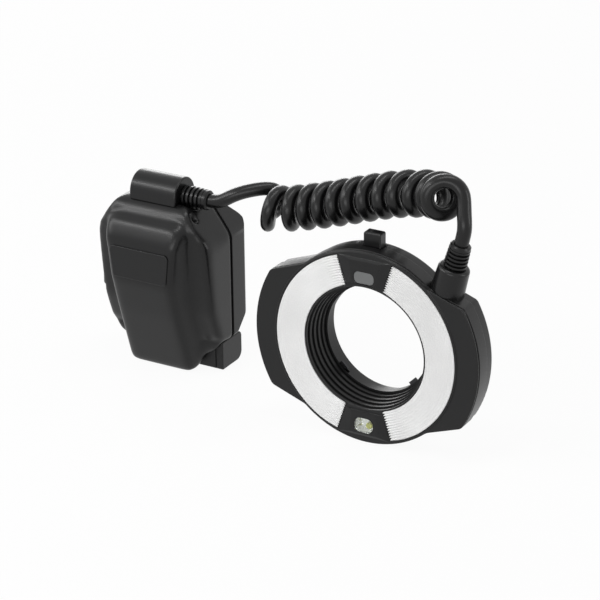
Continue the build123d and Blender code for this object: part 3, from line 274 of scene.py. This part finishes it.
def makeMouldedSkin(values):
    # spark-eroded mould texture: fine grain for the bump, slow drift for tone and gloss
    group, source, sink = newGroup(
        "mouldedSkin",
        [("Place", "NodeSocketVector", None), ("Grain Scale", "NodeSocketFloat", 2600.0),
         ("Roughness", "NodeSocketFloat", 0.45), ("Roughness Drift", "NodeSocketFloat", 0.08)],
        [("Tone", "NodeSocketFloat"), ("Roughness", "NodeSocketFloat"), ("Height", "NodeSocketFloat")])
    grain = noiseNode(group, source["Place"], source["Grain Scale"], 3.0)
    coarseScale = mathNode(group, "MULTIPLY", source["Grain Scale"], values["coarseScale"])
    coarse = noiseNode(group, source["Place"], coarseScale, 1.0)
    drift = noiseNode(group, source["Place"], values["driftScale"], 3.0)
    height = mathNode(group, "ADD", mathNode(group, "MULTIPLY", grain, values["grainShare"]),
                      mathNode(group, "MULTIPLY", coarse, 1 - values["grainShare"]))
    speckle = mathNode(group, "MULTIPLY", mathNode(group, "SUBTRACT", grain, 0.5), values["speckle"])
    group.links.new(mathNode(group, "ADD", drift, speckle), sink["Tone"])
    change = mathNode(group, "MULTIPLY", mathNode(group, "SUBTRACT", drift, 0.5), source["Roughness Drift"])
    group.links.new(mathNode(group, "ADD", source["Roughness"], change), sink["Roughness"])
    group.links.new(height, sink["Height"])
    return group


def makeBrushedLines(values):
    # fine lines along one direction, for brushed and turned metal
    group, source, sink = newGroup(
        "brushedLines",
        [("Place", "NodeSocketVector", None), ("Stretch", "NodeSocketVector", (60.0, 2500.0, 2500.0)),
         ("Roughness", "NodeSocketFloat", 0.3)],
        [("Tone", "NodeSocketFloat"), ("Roughness", "NodeSocketFloat"), ("Height", "NodeSocketFloat")])
    stretched = group.nodes.new("ShaderNodeVectorMath")
    stretched.operation = "MULTIPLY"
    group.links.new(source["Place"], stretched.inputs[0])
    group.links.new(source["Stretch"], stretched.inputs[1])
    lines = noiseNode(group, stretched.outputs[0], 1.0, values["detail"])
    group.links.new(lines, sink["Tone"])
    group.links.new(lines, sink["Height"])
    change = mathNode(group, "MULTIPLY", mathNode(group, "SUBTRACT", lines, 0.5), values["roughnessReach"])
    group.links.new(mathNode(group, "ADD", source["Roughness"], change), sink["Roughness"])
    return group


mouldedSkin = makeMouldedSkin(skinNoise)
brushedLines = makeBrushedLines(brushNoise)
print("shader groups made")


# Finishes

def newMaterial(name):
    material = bpy.data.materials.new(name)
    material.use_nodes = True
    tree = material.node_tree
    place = tree.nodes.new("ShaderNodeTexCoord").outputs["Object"]
    return material, tree, tree.nodes["Principled BSDF"], place


def skinnedMaterial(name, group, low, high, height, values, sockets=()):
    material, tree, shader, place = newMaterial(name)
    skin = tree.nodes.new("ShaderNodeGroup")
    skin.node_tree = group
    tree.links.new(place, skin.inputs["Place"])
    for label, value in values.items():
        skin.inputs[label].default_value = value
    tree.links.new(mixColour(tree, skin.outputs["Tone"], (*low, 1), (*high, 1)), shader.inputs["Base Color"])
    tree.links.new(skin.outputs["Roughness"], shader.inputs["Roughness"])
    bump = tree.nodes.new("ShaderNodeBump")
    bump.inputs["Distance"].default_value = height * mm
    tree.links.new(skin.outputs["Height"], bump.inputs["Height"])
    tree.links.new(bump.outputs[0], shader.inputs["Normal"])
    for label, value in dict(sockets).items():
        shader.inputs[label].default_value = value
    return material


toneDrift = 0.2  # how far a plastic's tone strays from its middle, as a share of it


def plastic(name, tone, roughness, grain=2600.0, height=0.02, blue=1.05, gloss=0.3):
    low, high = ([tone * share, tone * share, tone * share * blue] for share in (1 - toneDrift, 1 + toneDrift))
    values = {"Grain Scale": grain, "Roughness": roughness}
    return skinnedMaterial(name, mouldedSkin, low, high, height, values, {"Specular IOR Level": gloss})


def metal(name, low, high, roughness, stretch, **sockets):
    values = {"Stretch": stretch, "Roughness": roughness}
    return skinnedMaterial(name, brushedLines, low, high, 0.004, values, {"Metallic": 1.0, **sockets})


def clearPlastic(name, tint, roughness, transmission):
    values = {"Grain Scale": 900.0, "Roughness": roughness, "Roughness Drift": 0.04}
    low = tuple(c * 0.96 for c in tint)
    return skinnedMaterial(name, mouldedSkin, low, tint, 0.002, values,
                           {"Transmission Weight": transmission, "IOR": 1.49})


finishes = {  # material slot of the record: the material, with its tone and roughness first
    "housing": plastic("housingPlastic", 0.0055, 0.3),
    "strip": plastic("stripPlastic", 0.006, 0.45),
    "barrel": plastic("flockedBaffle", 0.004, 0.42, grain=5200.0, height=0.05),
    "collar": plastic("collarPlastic", 0.005, 0.3),
    "window": plastic("whiteDiffuser", 0.8, 0.36, grain=1500.0, height=0.004, blue=0.995, gloss=0.5),
    "reflector": metal("brightReflector", (0.78, 0.78, 0.78), (0.88, 0.88, 0.88), 0.18, (300.0, 300.0, 900.0)),
    "tube_glass": clearPlastic("tubeGlass", (0.93, 0.95, 0.95), 0.03, 1.0),
    "lamp_bezel": plastic("bezelPlastic", 0.005, 0.28),
    "lamp_lens": clearPlastic("lampLensPlastic", (0.9, 0.92, 0.9), 0.12, 1.0),
    "led": plastic("ledResin", 0.55, 0.25, height=0.001, blue=0.25),
    "circuit_board": plastic("greenMask", 0.06, 0.35, grain=800.0),
    "release_tab": plastic("tabPlastic", 0.005, 0.3),
    "latch_steel": metal("blackedSteel", (0.03, 0.03, 0.032), (0.06, 0.06, 0.063), 0.36, (60.0, 2500.0, 2500.0)),
    "screw": metal("blackScrew", (0.02, 0.02, 0.021), (0.05, 0.05, 0.052), 0.38, (1500.0, 1500.0, 200.0)),
    "cord": plastic("cordRubber", 0.004, 0.3, grain=1800.0, height=0.012),
    "name_panel": plastic("panelPlastic", 0.0065, 0.3),
    "rear_panel": plastic("rearPanelPlastic", 0.02, 0.4),
    "lcd_window": clearPlastic("screenCover", (0.86, 0.9, 0.86), 0.04, 1.0),
    "lcd_module": plastic("screenGlass", 0.34, 0.25, grain=9000.0, height=0.001, blue=0.85),
    "button": plastic("buttonPlastic", 0.035, 0.48),
    "dial": plastic("dialPlastic", 0.028, 0.42),
    "key_mat": plastic("keySilicone", 0.18, 0.6),
    "cage": plastic("cagePlastic", 0.02, 0.5),
    "cell": metal("cellSleeve", (0.2, 0.2, 0.21), (0.3, 0.3, 0.31), 0.35, (2500.0, 200.0, 200.0)),
    "contact": metal("contactBrass", (0.7, 0.52, 0.22), (0.82, 0.66, 0.34), 0.28, (900.0, 900.0, 90.0)),
    "capacitor": plastic("capacitorSleeve", 0.05, 0.3),
    "foot": plastic("footPlastic", 0.006, 0.36),
    "shoe_plate": metal("shoeSteel", (0.3, 0.3, 0.305), (0.42, 0.42, 0.425), 0.34, (2500.0, 60.0, 2500.0)),
    "lock_lever": plastic("leverPlastic", 0.007, 0.36),
}

for part in frame["record"]["subparts"]:
    node = nodes[part["node"]]
    for holder in node.material_slots:
        holder.material = finishes[part["material_slot"]]
frostedLens = clearPlastic("frostedLens", (0.2, 0.205, 0.205), 0.42, 0.3)
nodes["lamp_lens_top"].material_slots[0].material = frostedLens
print("finishes given to the nodes")


# Cord: the lead from the control unit, the curly stretch and the lead into the ring, as one line

cordRun = {
    "diameter": 7.3,
    "length": 0.73,  # metres
    "coilStart": (-72.2, 30.0, 51.1),  # millimetres from the ring's centre, as all the places here
    "coilEnd": (26.0, 33.0, 77.6),
    "startSlope": (1.0, 0.33, 0.062),
    "endSlope": (1.0, 0.211, 0.096),
    "coilRadius": 8.45,
    "quarterTurns": 47,
    "evenQuarters": 43,
    "firstQuarter": 1,
    "fan": (-6.6, 0.0, -0.8),
    "fanShare": 0.1,
    "swing": (13.4, -22.6, 6.4),
    "swingShare": 0.72,
    "slowShare": 0.93,
    "slowReach": 0.075,
    "pointsPerQuarter": 4,
    "axisStep": 16,  # the coil's direction is read over one part in this many of a quarter
    "wayStep": 256,  # and the cord's own over one in this many
    "controlExit": (-109.7, 33.5, 47.3),
    "leadPoints": [(-96.6, 35.5, 52.2), (-89.6, 39.0, 54.8), (-81.2, 44.7, 56.0), (-77.6, 48.6, 53.5),
                   (-76.5, 50.5, 48.5), (-77.3, 48.6, 43.4)],
    "firstRun": 5.5,
    "coilRun": 6.5,
    "ringCoilRun": 5.0,
    "lastRun": 6.0,
    "bossBase": (40.8, 9.9, 35.5),
    "bossTilt": 15.0,
    "bossAndRelief": 28.0,
    "curveSteps": 4,
    "roundSteps": 6,
}


def coilAxis(values, share):
    slow, reachLeft = values["slowShare"], values["slowReach"]
    s = share
    if s > slow:
        s = slow + reachLeft * (1 - math.exp((slow - s) / reachLeft))
    start, end = Vector(values["coilStart"]), Vector(values["coilEnd"])
    reach = (end - start).length
    leave = Vector(values["startSlope"]).normalized() * reach
    arrive = Vector(values["endSlope"]).normalized() * reach
    point = (start * (2 * s**3 - 3 * s**2 + 1) + leave * (s**3 - 2 * s**2 + s) + end * (3 * s**2 - 2 * s**3)
             + arrive * (s**3 - s**2))
    last = (values["quarterTurns"] + values["firstQuarter"]) / values["evenQuarters"]
    swing = max(0, (share - values["swingShare"]) / (last - values["swingShare"]))
    fan = max(0, (values["fanShare"] - share) / values["fanShare"])
    return point + Vector(values["swing"]) * swing**2 + Vector(values["fan"]) * fan**2


def coilPoint(values, quarter, radius):
    turned = quarter + values["firstQuarter"]
    share = turned / values["evenQuarters"]
    step = 1 / values["evenQuarters"] / values["axisStep"]
    way = (coilAxis(values, share + step) - coilAxis(values, share - step)).normalized()
    up = (Vector((0, 0, 1)) - way * way.z).normalized()
    front = way.cross(up)
    angle = math.radians(-90 - 90 * turned)
    return coilAxis(values, share) + (up * math.cos(angle) + front * math.sin(angle)) * radius


def coilWay(values, quarter):
    step = 1 / values["wayStep"]
    radius = values["coilRadius"]
    return (coilPoint(values, quarter + step, radius) - coilPoint(values, quarter - step, radius)).normalized()


def cordPoints(values):
    # the spline runs inside its points, so the turns are drawn that much wider
    turnStep = math.radians(90 / values["pointsPerQuarter"])
    wide = values["coilRadius"] * 8 / (6 + 2 * math.cos(turnStep))
    count, per = values["quarterTurns"], values["pointsPerQuarter"]
    first, last = coilWay(values, 0), coilWay(values, count)
    start = coilPoint(values, 0, values["coilRadius"]) - first * values["diameter"]
    end = coilPoint(values, count, values["coilRadius"]) + last * values["diameter"]
    leave = Vector(values["controlExit"])
    tilt = math.radians(values["bossTilt"])
    bossWay = Vector((math.sin(tilt), 0, math.cos(tilt)))
    arrive = Vector(values["bossBase"]) + bossWay * values["bossAndRelief"]
    points = [leave, leave + Vector((values["firstRun"], 0, 0))]
    points += [Vector(p) for p in values["leadPoints"]]
    points += [start - first * values["coilRun"], start]
    points += [coilPoint(values, i / per, wide) for i in range(count * per + 1)]
    points += [end, end + last * values["ringCoilRun"], arrive + bossWay * values["lastRun"], arrive]
    return [ringCentre + p * mm for p in points]


def makeCord(values):
    points = cordPoints(values)
    curve = bpy.data.curves.new("cord", "CURVE")
    curve.dimensions = "3D"
    spline = curve.splines.new("NURBS")
    spline.points.add(len(points) - 1)
    for handle, point in zip(spline.points, points):
        handle.co = (*point, 1)
    spline.order_u = 3
    spline.use_endpoint_u = True
    curve.resolution_u = values["curveSteps"]
    curve.bevel_depth = values["diameter"] / 2 * mm
    curve.bevel_resolution = values["roundSteps"]
    curve.materials.append(finishes["cord"])
    cord = bpy.data.objects.new("cord", curve)
    scene.collection.objects.link(cord)
    mount(cord, "housings", "cord", "cord_lead_control", "cord_coil", "cord_lead_ring")


makeCord(cordRun)
print("cord laid")


# Windows with their fine concentric ribs

windowShape = {
    "innerRadius": 34.3,
    "outerRadius": 50.3,
    "front": -0.15,
    "back": 1.7,
    "backMargin": 0.1,  # points closer than this to the back stay where they are
    "halfAngle": 72.3,
    "ribCount": 12,
    "ribDepth": 0.09,
    "endRibDepth": 0.75,
    "endReach": 0.22,  # share of the sweep over which the ribs deepen
    "ribPoints": 4,
    "endNotch": 1.1,
    "steps": 120,
}


def ribShare(values, radius):
    pitch = (values["outerRadius"] - values["innerRadius"]) / values["ribCount"]
    return abs(math.sin(math.pi * (radius - values["innerRadius"]) / pitch))


def makeWindow(values, side, node):
    inner, outer = values["innerRadius"], values["outerRadius"]
    count = values["ribCount"] * values["ribPoints"]
    profile = []
    for i in range(count + 1):
        radius = inner + (outer - inner) * i / count
        profile.append((radius, values["front"] + values["ribDepth"] * (1 - ribShare(values, radius))))
    profile += [(outer, values["back"]), (inner, values["back"])]
    half = math.radians(values["halfAngle"])
    build = bmesh.new()
    loop = [build.verts.new((radius, depth, 0)) for radius, depth in profile]
    face = build.faces.new(loop)
    bmesh.ops.rotate(build, verts=loop, cent=(0, 0, 0), matrix=Matrix.Rotation(-half, 3, "Y"))
    bmesh.ops.spin(build, geom=[face] + list(face.edges) + loop, cent=(0, 0, 0), axis=(0, 1, 0), angle=2 * half,
                   steps=values["steps"])
    for vertex in build.verts:
        radius = math.hypot(vertex.co.x, vertex.co.z)
        angle = math.atan2(vertex.co.z, vertex.co.x)
        near = max(0.0, 1 - (half - abs(angle)) / (half * values["endReach"])) ** 2
        if vertex.co.y < values["back"] - values["backMargin"]:
            vertex.co.y += (values["endRibDepth"] - values["ribDepth"]) * near * (1 - ribShare(values, radius))
        if abs(angle) > half - 0.001 and inner < radius < outer:
            back = values["endNotch"] * (1 - ribShare(values, radius)) / radius
            turn = back if angle > 0 else -back
            vertex.co = Matrix.Rotation(turn, 3, "Y") @ vertex.co
    if side < 0:
        bmesh.ops.rotate(build, verts=build.verts, cent=(0, 0, 0), matrix=Matrix.Rotation(math.pi, 3, "Y"))
    bmesh.ops.scale(build, verts=build.verts, vec=(mm, mm, mm))
    bmesh.ops.translate(build, verts=build.verts, vec=ringCentre)
    bmesh.ops.recalc_face_normals(build, faces=build.faces)
    window = meshPiece("window" + ("Right" if side > 0 else "Left"), build, finishes["window"], smoothAngle=40)
    mount(window, "housings", "window", node)


makeWindow(windowShape, 1, "window_right")
makeWindow(windowShape, -1, "window_left")
print("windows ribbed")


# Covers and controls: copies of the CAD with softened edges

bodyOf = {node: body for body, members in frame["record"]["behaviour"]["bodies"].items() for node in members}
slotOf = {part["node"]: part["material_slot"] for part in frame["record"]["subparts"]}


def pieceName(node):
    first, *rest = node.split("_")
    return first + "".join(word.capitalize() for word in rest)


weldReach = 0.002  # millimetres; the CAD's faces come apart and are joined before any work on them


def cadCopy(node):
    build = bmesh.new()
    build.from_mesh(nodes[node].data)
    bmesh.ops.remove_doubles(build, verts=build.verts, dist=weldReach * mm)
    return build


def weightNormals(piece):
    modifier = piece.modifiers.new("evenNormals", "WEIGHTED_NORMAL")
    modifier.keep_sharp = True


softEdges = {  # node: width in millimetres, segments
    "ring_front_cover": (0.4, 3),
    "ring_rear_cover": (0.4, 3),
    "lens_collar": (0.3, 2),
    "lamp_bezel_top": (0.25, 2),
    "lamp_bezel_bottom": (0.25, 2),
    "release_button": (0.25, 2),
    "connector_housing": (0.2, 2),
    "control_rear_cover": (0.3, 2),
    "battery_door": (0.25, 2),
    "foot_base": (0.3, 2),
    "lock_lever": (0.3, 2),
    "shoe_plate": (0.15, 1),
    "rear_panel": (0.15, 1),
    "power_switch": (0.15, 1),
    "select_dial": (0.12, 1),
    "parting_strip": (0.15, 1),
}
strayShare = 0.9  # a bevel's point further out than this share of its width is drawn back


def drawBackStrays(build, node, limit):
    whole = cadCopy(node)
    surface = BVHTree.FromBMesh(whole)
    for v in build.verts:
        spot, normal, index, gap = surface.find_nearest(v.co)
        if gap > limit:
            v.co = spot
    whole.free()


def softenEdges(node, width, segments, sharpAngle=28):
    build = cadCopy(node)
    sharp = [e for e in build.edges if e.is_manifold and e.calc_face_angle(0) > math.radians(sharpAngle)]
    bmesh.ops.bevel(build, geom=sharp, offset=width * mm, offset_type="OFFSET", segments=segments, profile=0.5,
                    affect="EDGES", clamp_overlap=False, material=-1)
    drawBackStrays(build, node, strayShare * width * mm)
    piece = meshPiece(pieceName(node), build, finishes[slotOf[node]], smoothAngle=50)
    weightNormals(piece)
    mount(piece, bodyOf[node], slotOf[node], node)


for node, (width, segments) in softEdges.items():
    softenEdges(node, width, segments)
print("edges softened")


# The control unit's front cover: one soft moulding, its flanks and bulge rounded into each other

frontMoulding = {
    "voxel": 0.75,
    "passes": 64,  # smoothing passes where the moulding is freest
    "fewPasses": 3,  # and where it is crisp
    "fade": 9.0,  # distance over which the passes rise
    "partingDepth": 41.0,
    "troughEdge": (24.0, 27.0, 93.0),  # right of, deeper than and above these it is crisp
    "screwRadius": 2.6,
    "screwHeight": 80.0,
    "screwPlaces": [(-24.5, 25.4), (24.5, 25.4)],
    "shoulder": {  # the sloping face between top and flank, which is kept flat behind the bulge
        "from": 81.0,
        "to": 93.0,
        "behind": 30.0,
        "level": 88.0,
        "reach": 27.36,  # half width of the shoulders at that level
        "slope": 0.7275,
    },
    "brow": [  # half width, depth and height of the wedge that carries the bulge's face up to the top
        (22.0, 9.6, 75.0), (23.4, 12.4, 80.5), (23.6, 17.2, 86.0), (21.6, 22.6, 91.0), (18.0, 29.0, 95.0),
        (21.5, 27.0, 75.0),
    ],
}


def flattenShoulder(values, point):
    x, y, z = (point - unitOrigin) / mm
    if y < values["behind"] or not values["from"] < z < values["to"]:
        return
    reach = values["reach"] + (values["level"] - z) * values["slope"]
    if abs(x) > reach:
        point.x = unitOrigin.x + math.copysign(reach, x) * mm


def passesAt(values, point):
    x, y, z = (point - unitOrigin) / mm
    away = [values["partingDepth"] - y]
    trough = values["troughEdge"]
    away.append(max(trough[0] - x, trough[1] - y, trough[2] - z))
    if z > values["screwHeight"]:
        away += [math.hypot(x - u, y - v) - values["screwRadius"] for u, v in values["screwPlaces"]]
    share = max(0.0, min(1.0, min(away) / values["fade"]))
    return values["fewPasses"] + round((values["passes"] - values["fewPasses"]) * share)


def makeFrontMoulding(values, node):
    build = cadCopy(node)
    brow = [build.verts.new(unitOrigin + Vector((side * x, y, z)) * mm)
            for x, y, z in values["brow"] for side in (-1, 1)]
    bmesh.ops.convex_hull(build, input=brow)
    source = meshPiece("frontMouldingSource", build, finishes["housing"])
    remesh = source.modifiers.new("even", "REMESH")
    remesh.mode = "VOXEL"
    remesh.voxel_size = values["voxel"] * mm
    build = bmesh.new()
    build.from_object(source, bpy.context.evaluated_depsgraph_get())
    bpy.data.objects.remove(source)
    for v in build.verts:
        flattenShoulder(values["shoulder"], v.co)
    planned = [(v, passesAt(values, v.co)) for v in build.verts]
    for index in range(values["passes"]):
        moving = [v for v, count in planned if count > index]
        bmesh.ops.smooth_vert(build, verts=moving, factor=0.5, use_axis_x=True, use_axis_y=True, use_axis_z=True)
    piece = meshPiece(pieceName(node), build, finishes["housing"], smoothAngle=60)
    mount(piece, "housings", "housing", node)
    print("front cover smoothed,", len(piece.data.polygons), "faces")


makeFrontMoulding(frontMoulding, "control_front_cover")


# Lamps: a dish behind each lens

lampDishes = {
    "top": {"height": 38.5, "width": 11.0, "tall": 6.2, "finish": "frostedDish"},
    "bottom": {"height": -42.6, "width": 10.4, "tall": 8.0, "finish": "clearDish"},
}
dishShape = {
    "front": 0.95,
    "depth": 3.0,
    "cornerShare": 0.42,
    "cornerSteps": 6,
    "rim": 0.5,
    "taper": 0.62,
    "wall": 0.2,
}
dishFinishes = {
    "frostedDish": plastic("frostedDish", 0.16, 0.5, grain=1200.0, height=0.01),
    "clearDish": metal("brightDish", (0.72, 0.72, 0.7), (0.86, 0.86, 0.84), 0.2, (4000.0, 4000.0, 4000.0)),
}


def makeLampDish(word, lamp, values):
    build = bmesh.new()
    bmesh.ops.create_grid(build, x_segments=1, y_segments=1, size=0.5)
    bmesh.ops.scale(build, verts=build.verts, vec=(lamp["width"], lamp["tall"], 1))
    bmesh.ops.bevel(build, geom=build.verts[:], offset=lamp["tall"] * values["cornerShare"], offset_type="OFFSET",
                    segments=values["cornerSteps"], profile=0.5, affect="VERTICES", clamp_overlap=True, material=-1)
    bmesh.ops.rotate(build, verts=build.verts, cent=(0, 0, 0), matrix=Matrix.Rotation(math.pi / 2, 3, "X"))
    bmesh.ops.inset_region(build, faces=build.faces[:], thickness=values["rim"], depth=0, use_even_offset=True)
    middle = max(build.faces, key=lambda f: len(f.verts))
    moved = bmesh.ops.extrude_face_region(build, geom=[middle])["geom"]
    bmesh.ops.delete(build, geom=[middle], context="FACES_ONLY")
    bowl = [g for g in moved if isinstance(g, bmesh.types.BMVert)]
    bmesh.ops.translate(build, verts=bowl, vec=(0, values["depth"], 0))
    bmesh.ops.scale(build, verts=bowl, vec=(values["taper"], 1, values["taper"]))
    bmesh.ops.recalc_face_normals(build, faces=build.faces)
    bmesh.ops.solidify(build, geom=build.faces[:], thickness=values["wall"])
    bmesh.ops.scale(build, verts=build.verts, vec=(mm, mm, mm))
    bmesh.ops.translate(build, verts=build.verts,
                        vec=ringCentre + Vector((0, values["front"], lamp["height"])) * mm)
    bmesh.ops.recalc_face_normals(build, faces=build.faces)
    dish = meshPiece("lampDish" + word.capitalize(), build, dishFinishes[lamp["finish"]], smoothAngle=40)
    mount(dish, "housings", "reflector")


for word, lamp in lampDishes.items():
    makeLampDish(word, lamp, dishShape)
print("lamp dishes made")


# Release springs: two wound springs, built at their full length; on the flash they close up when the latch is
# pressed

springShape = {
    "radius": 0.92,
    "wire": 0.27,
    "turns": 9,
    "turnPoints": 20,
    "wireSides": 8,
    "endGap": 0.04,
    "travel": 2.5,  # millimetres that the latch takes from their length
}


def addSpring(build, values, foot, length):
    count = values["turns"] * values["turnPoints"]
    rise = length - 2 * values["wire"] - values["endGap"]
    rings = []
    for i in range(count + 1):
        angle = 2 * math.pi * i / values["turnPoints"]
        outward = Vector((math.cos(angle), math.sin(angle), 0))
        height = values["wire"] + rise * i / count
        ring = []
        for j in range(values["wireSides"]):
            turn = 2 * math.pi * j / values["wireSides"]
            reach = values["radius"] + values["wire"] * math.cos(turn)
            place = outward * reach + Vector((0, 0, height + values["wire"] * math.sin(turn)))
            ring.append(build.verts.new(foot + place * mm))
        rings.append(ring)
    for first, second in zip(rings, rings[1:]):
        for j in range(values["wireSides"]):
            k = (j + 1) % values["wireSides"]
            build.faces.new((first[j], first[k], second[k], second[j]))
    build.faces.new(rings[0])
    build.faces.new(rings[-1])


def makeSprings(values, node):
    sleeves = cadCopy(node)
    build = bmesh.new()
    for side in (-1, 1):
        points = [v.co for v in sleeves.verts if (v.co.x - ringCentre.x) * side > 0]
        low = Vector([min(p[i] for p in points) for i in range(3)])
        high = Vector([max(p[i] for p in points) for i in range(3)])
        foot = Vector(((low.x + high.x) / 2, (low.y + high.y) / 2, low.z))
        length = (high.z - low.z) / mm
        addSpring(build, values, foot, length)
    sleeves.free()
    bmesh.ops.recalc_face_normals(build, faces=build.faces)
    springs = meshPiece("woundSprings", build, finishes["latch_steel"], smoothAngle=60)
    mount(springs, "housings", "latch_steel", node)
    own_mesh(springs)


makeSprings(springShape, "release_springs")
print("release springs made")


# Rear panel: marks on the screen, and small signs beside the keys

rearMarks = {
    "panelBack": 62.0,
    "thickness": 0.12,
    "proud": 0.04,  # how far a sign stands out of the panel
    "screenDepth": 60.25,  # just behind the screen's cover
    "screen": [  # left, right, bottom, top, as seen in the unit's own frame
        (-15.5, -9.5, 72.3, 73.5), (-15.5, -10.9, 69.6, 70.4), (8.5, 15.5, 72.3, 73.5), (11.0, 15.5, 69.6, 70.4),
        (-15.5, 15.5, 66.9, 67.2),
    ],
    "barCount": 13,
    "barStart": -15.0,
    "barPitch": 2.5,
    "barWidth": 1.5,
    "barBottom": 60.2,
    "barHeight": 2.0,
    "barRise": 0.28,
    "keySigns": [  # x, height, width, tall
        (-14.4, 55.6, 2.4, 0.35), (-4.8, 55.6, 2.4, 0.35), (4.8, 55.6, 2.4, 0.35), (14.4, 55.6, 2.4, 0.35),
        (-20.0, 48.9, 1.6, 0.35), (-11.6, 48.9, 1.6, 0.35), (-20.0, 41.4, 1.6, 0.35),
        (-8.0, 35.6, 1.2, 0.35), (-2.4, 35.6, 0.35, 1.2),
    ],
    "dialPlace": (14.0, 42.4),
    "dialRadius": 7.9,
    "dialTicks": 8,
    "tickHalf": (0.45, 0.14),  # half length and half width
}


def addMark(build, left, right, front, back, bottom, top):
    made = bmesh.ops.create_cube(build, size=1)["verts"]
    bmesh.ops.scale(build, verts=made, vec=((right - left) * mm, (back - front) * mm, (top - bottom) * mm))
    centre = Vector((left + right, front + back, bottom + top)) / 2
    bmesh.ops.translate(build, verts=made, vec=unitOrigin + centre * mm)
    return made


def makeScreenMarks(values):
    build = bmesh.new()
    front = values["screenDepth"]
    back = front + values["thickness"]
    for left, right, bottom, top in values["screen"]:
        addMark(build, left, right, front, back, bottom, top)
    for i in range(values["barCount"]):
        left = values["barStart"] + i * values["barPitch"] - values["barWidth"] / 2
        bottom = values["barBottom"]
        top = bottom + values["barHeight"] + i * values["barRise"]
        addMark(build, left, left + values["barWidth"], front, back, bottom, top)
    marks = meshPiece("screenMarks", build, finishes["strip"])
    mount(marks, "housings", "lcd_module")


def makePanelMarks(values):
    build = bmesh.new()
    front = values["panelBack"] - values["thickness"]
    back = values["panelBack"] + values["proud"]
    for x, z, width, tall in values["keySigns"]:
        addMark(build, x - width / 2, x + width / 2, front, back, z - tall / 2, z + tall / 2)
    centreX, centreZ = values["dialPlace"]
    halfLong, halfWide = values["tickHalf"]
    for i in range(values["dialTicks"]):
        angle = 2 * math.pi * i / values["dialTicks"]
        x, z = centreX + values["dialRadius"] * math.cos(angle), centreZ + values["dialRadius"] * math.sin(angle)
        made = addMark(build, x - halfLong, x + halfLong, front, back, z - halfWide, z + halfWide)
        bmesh.ops.rotate(build, verts=made, cent=unitOrigin + Vector((x, front, z)) * mm,
                         matrix=Matrix.Rotation(-angle, 3, "Y"))
    ink = plastic("paleInk", 0.55, 0.5, height=0.001, blue=1.0)
    marks = meshPiece("panelMarks", build, ink)
    mount(marks, "housings", "rear_panel")


makeScreenMarks(rearMarks)
makePanelMarks(rearMarks)
print("rear marks made")
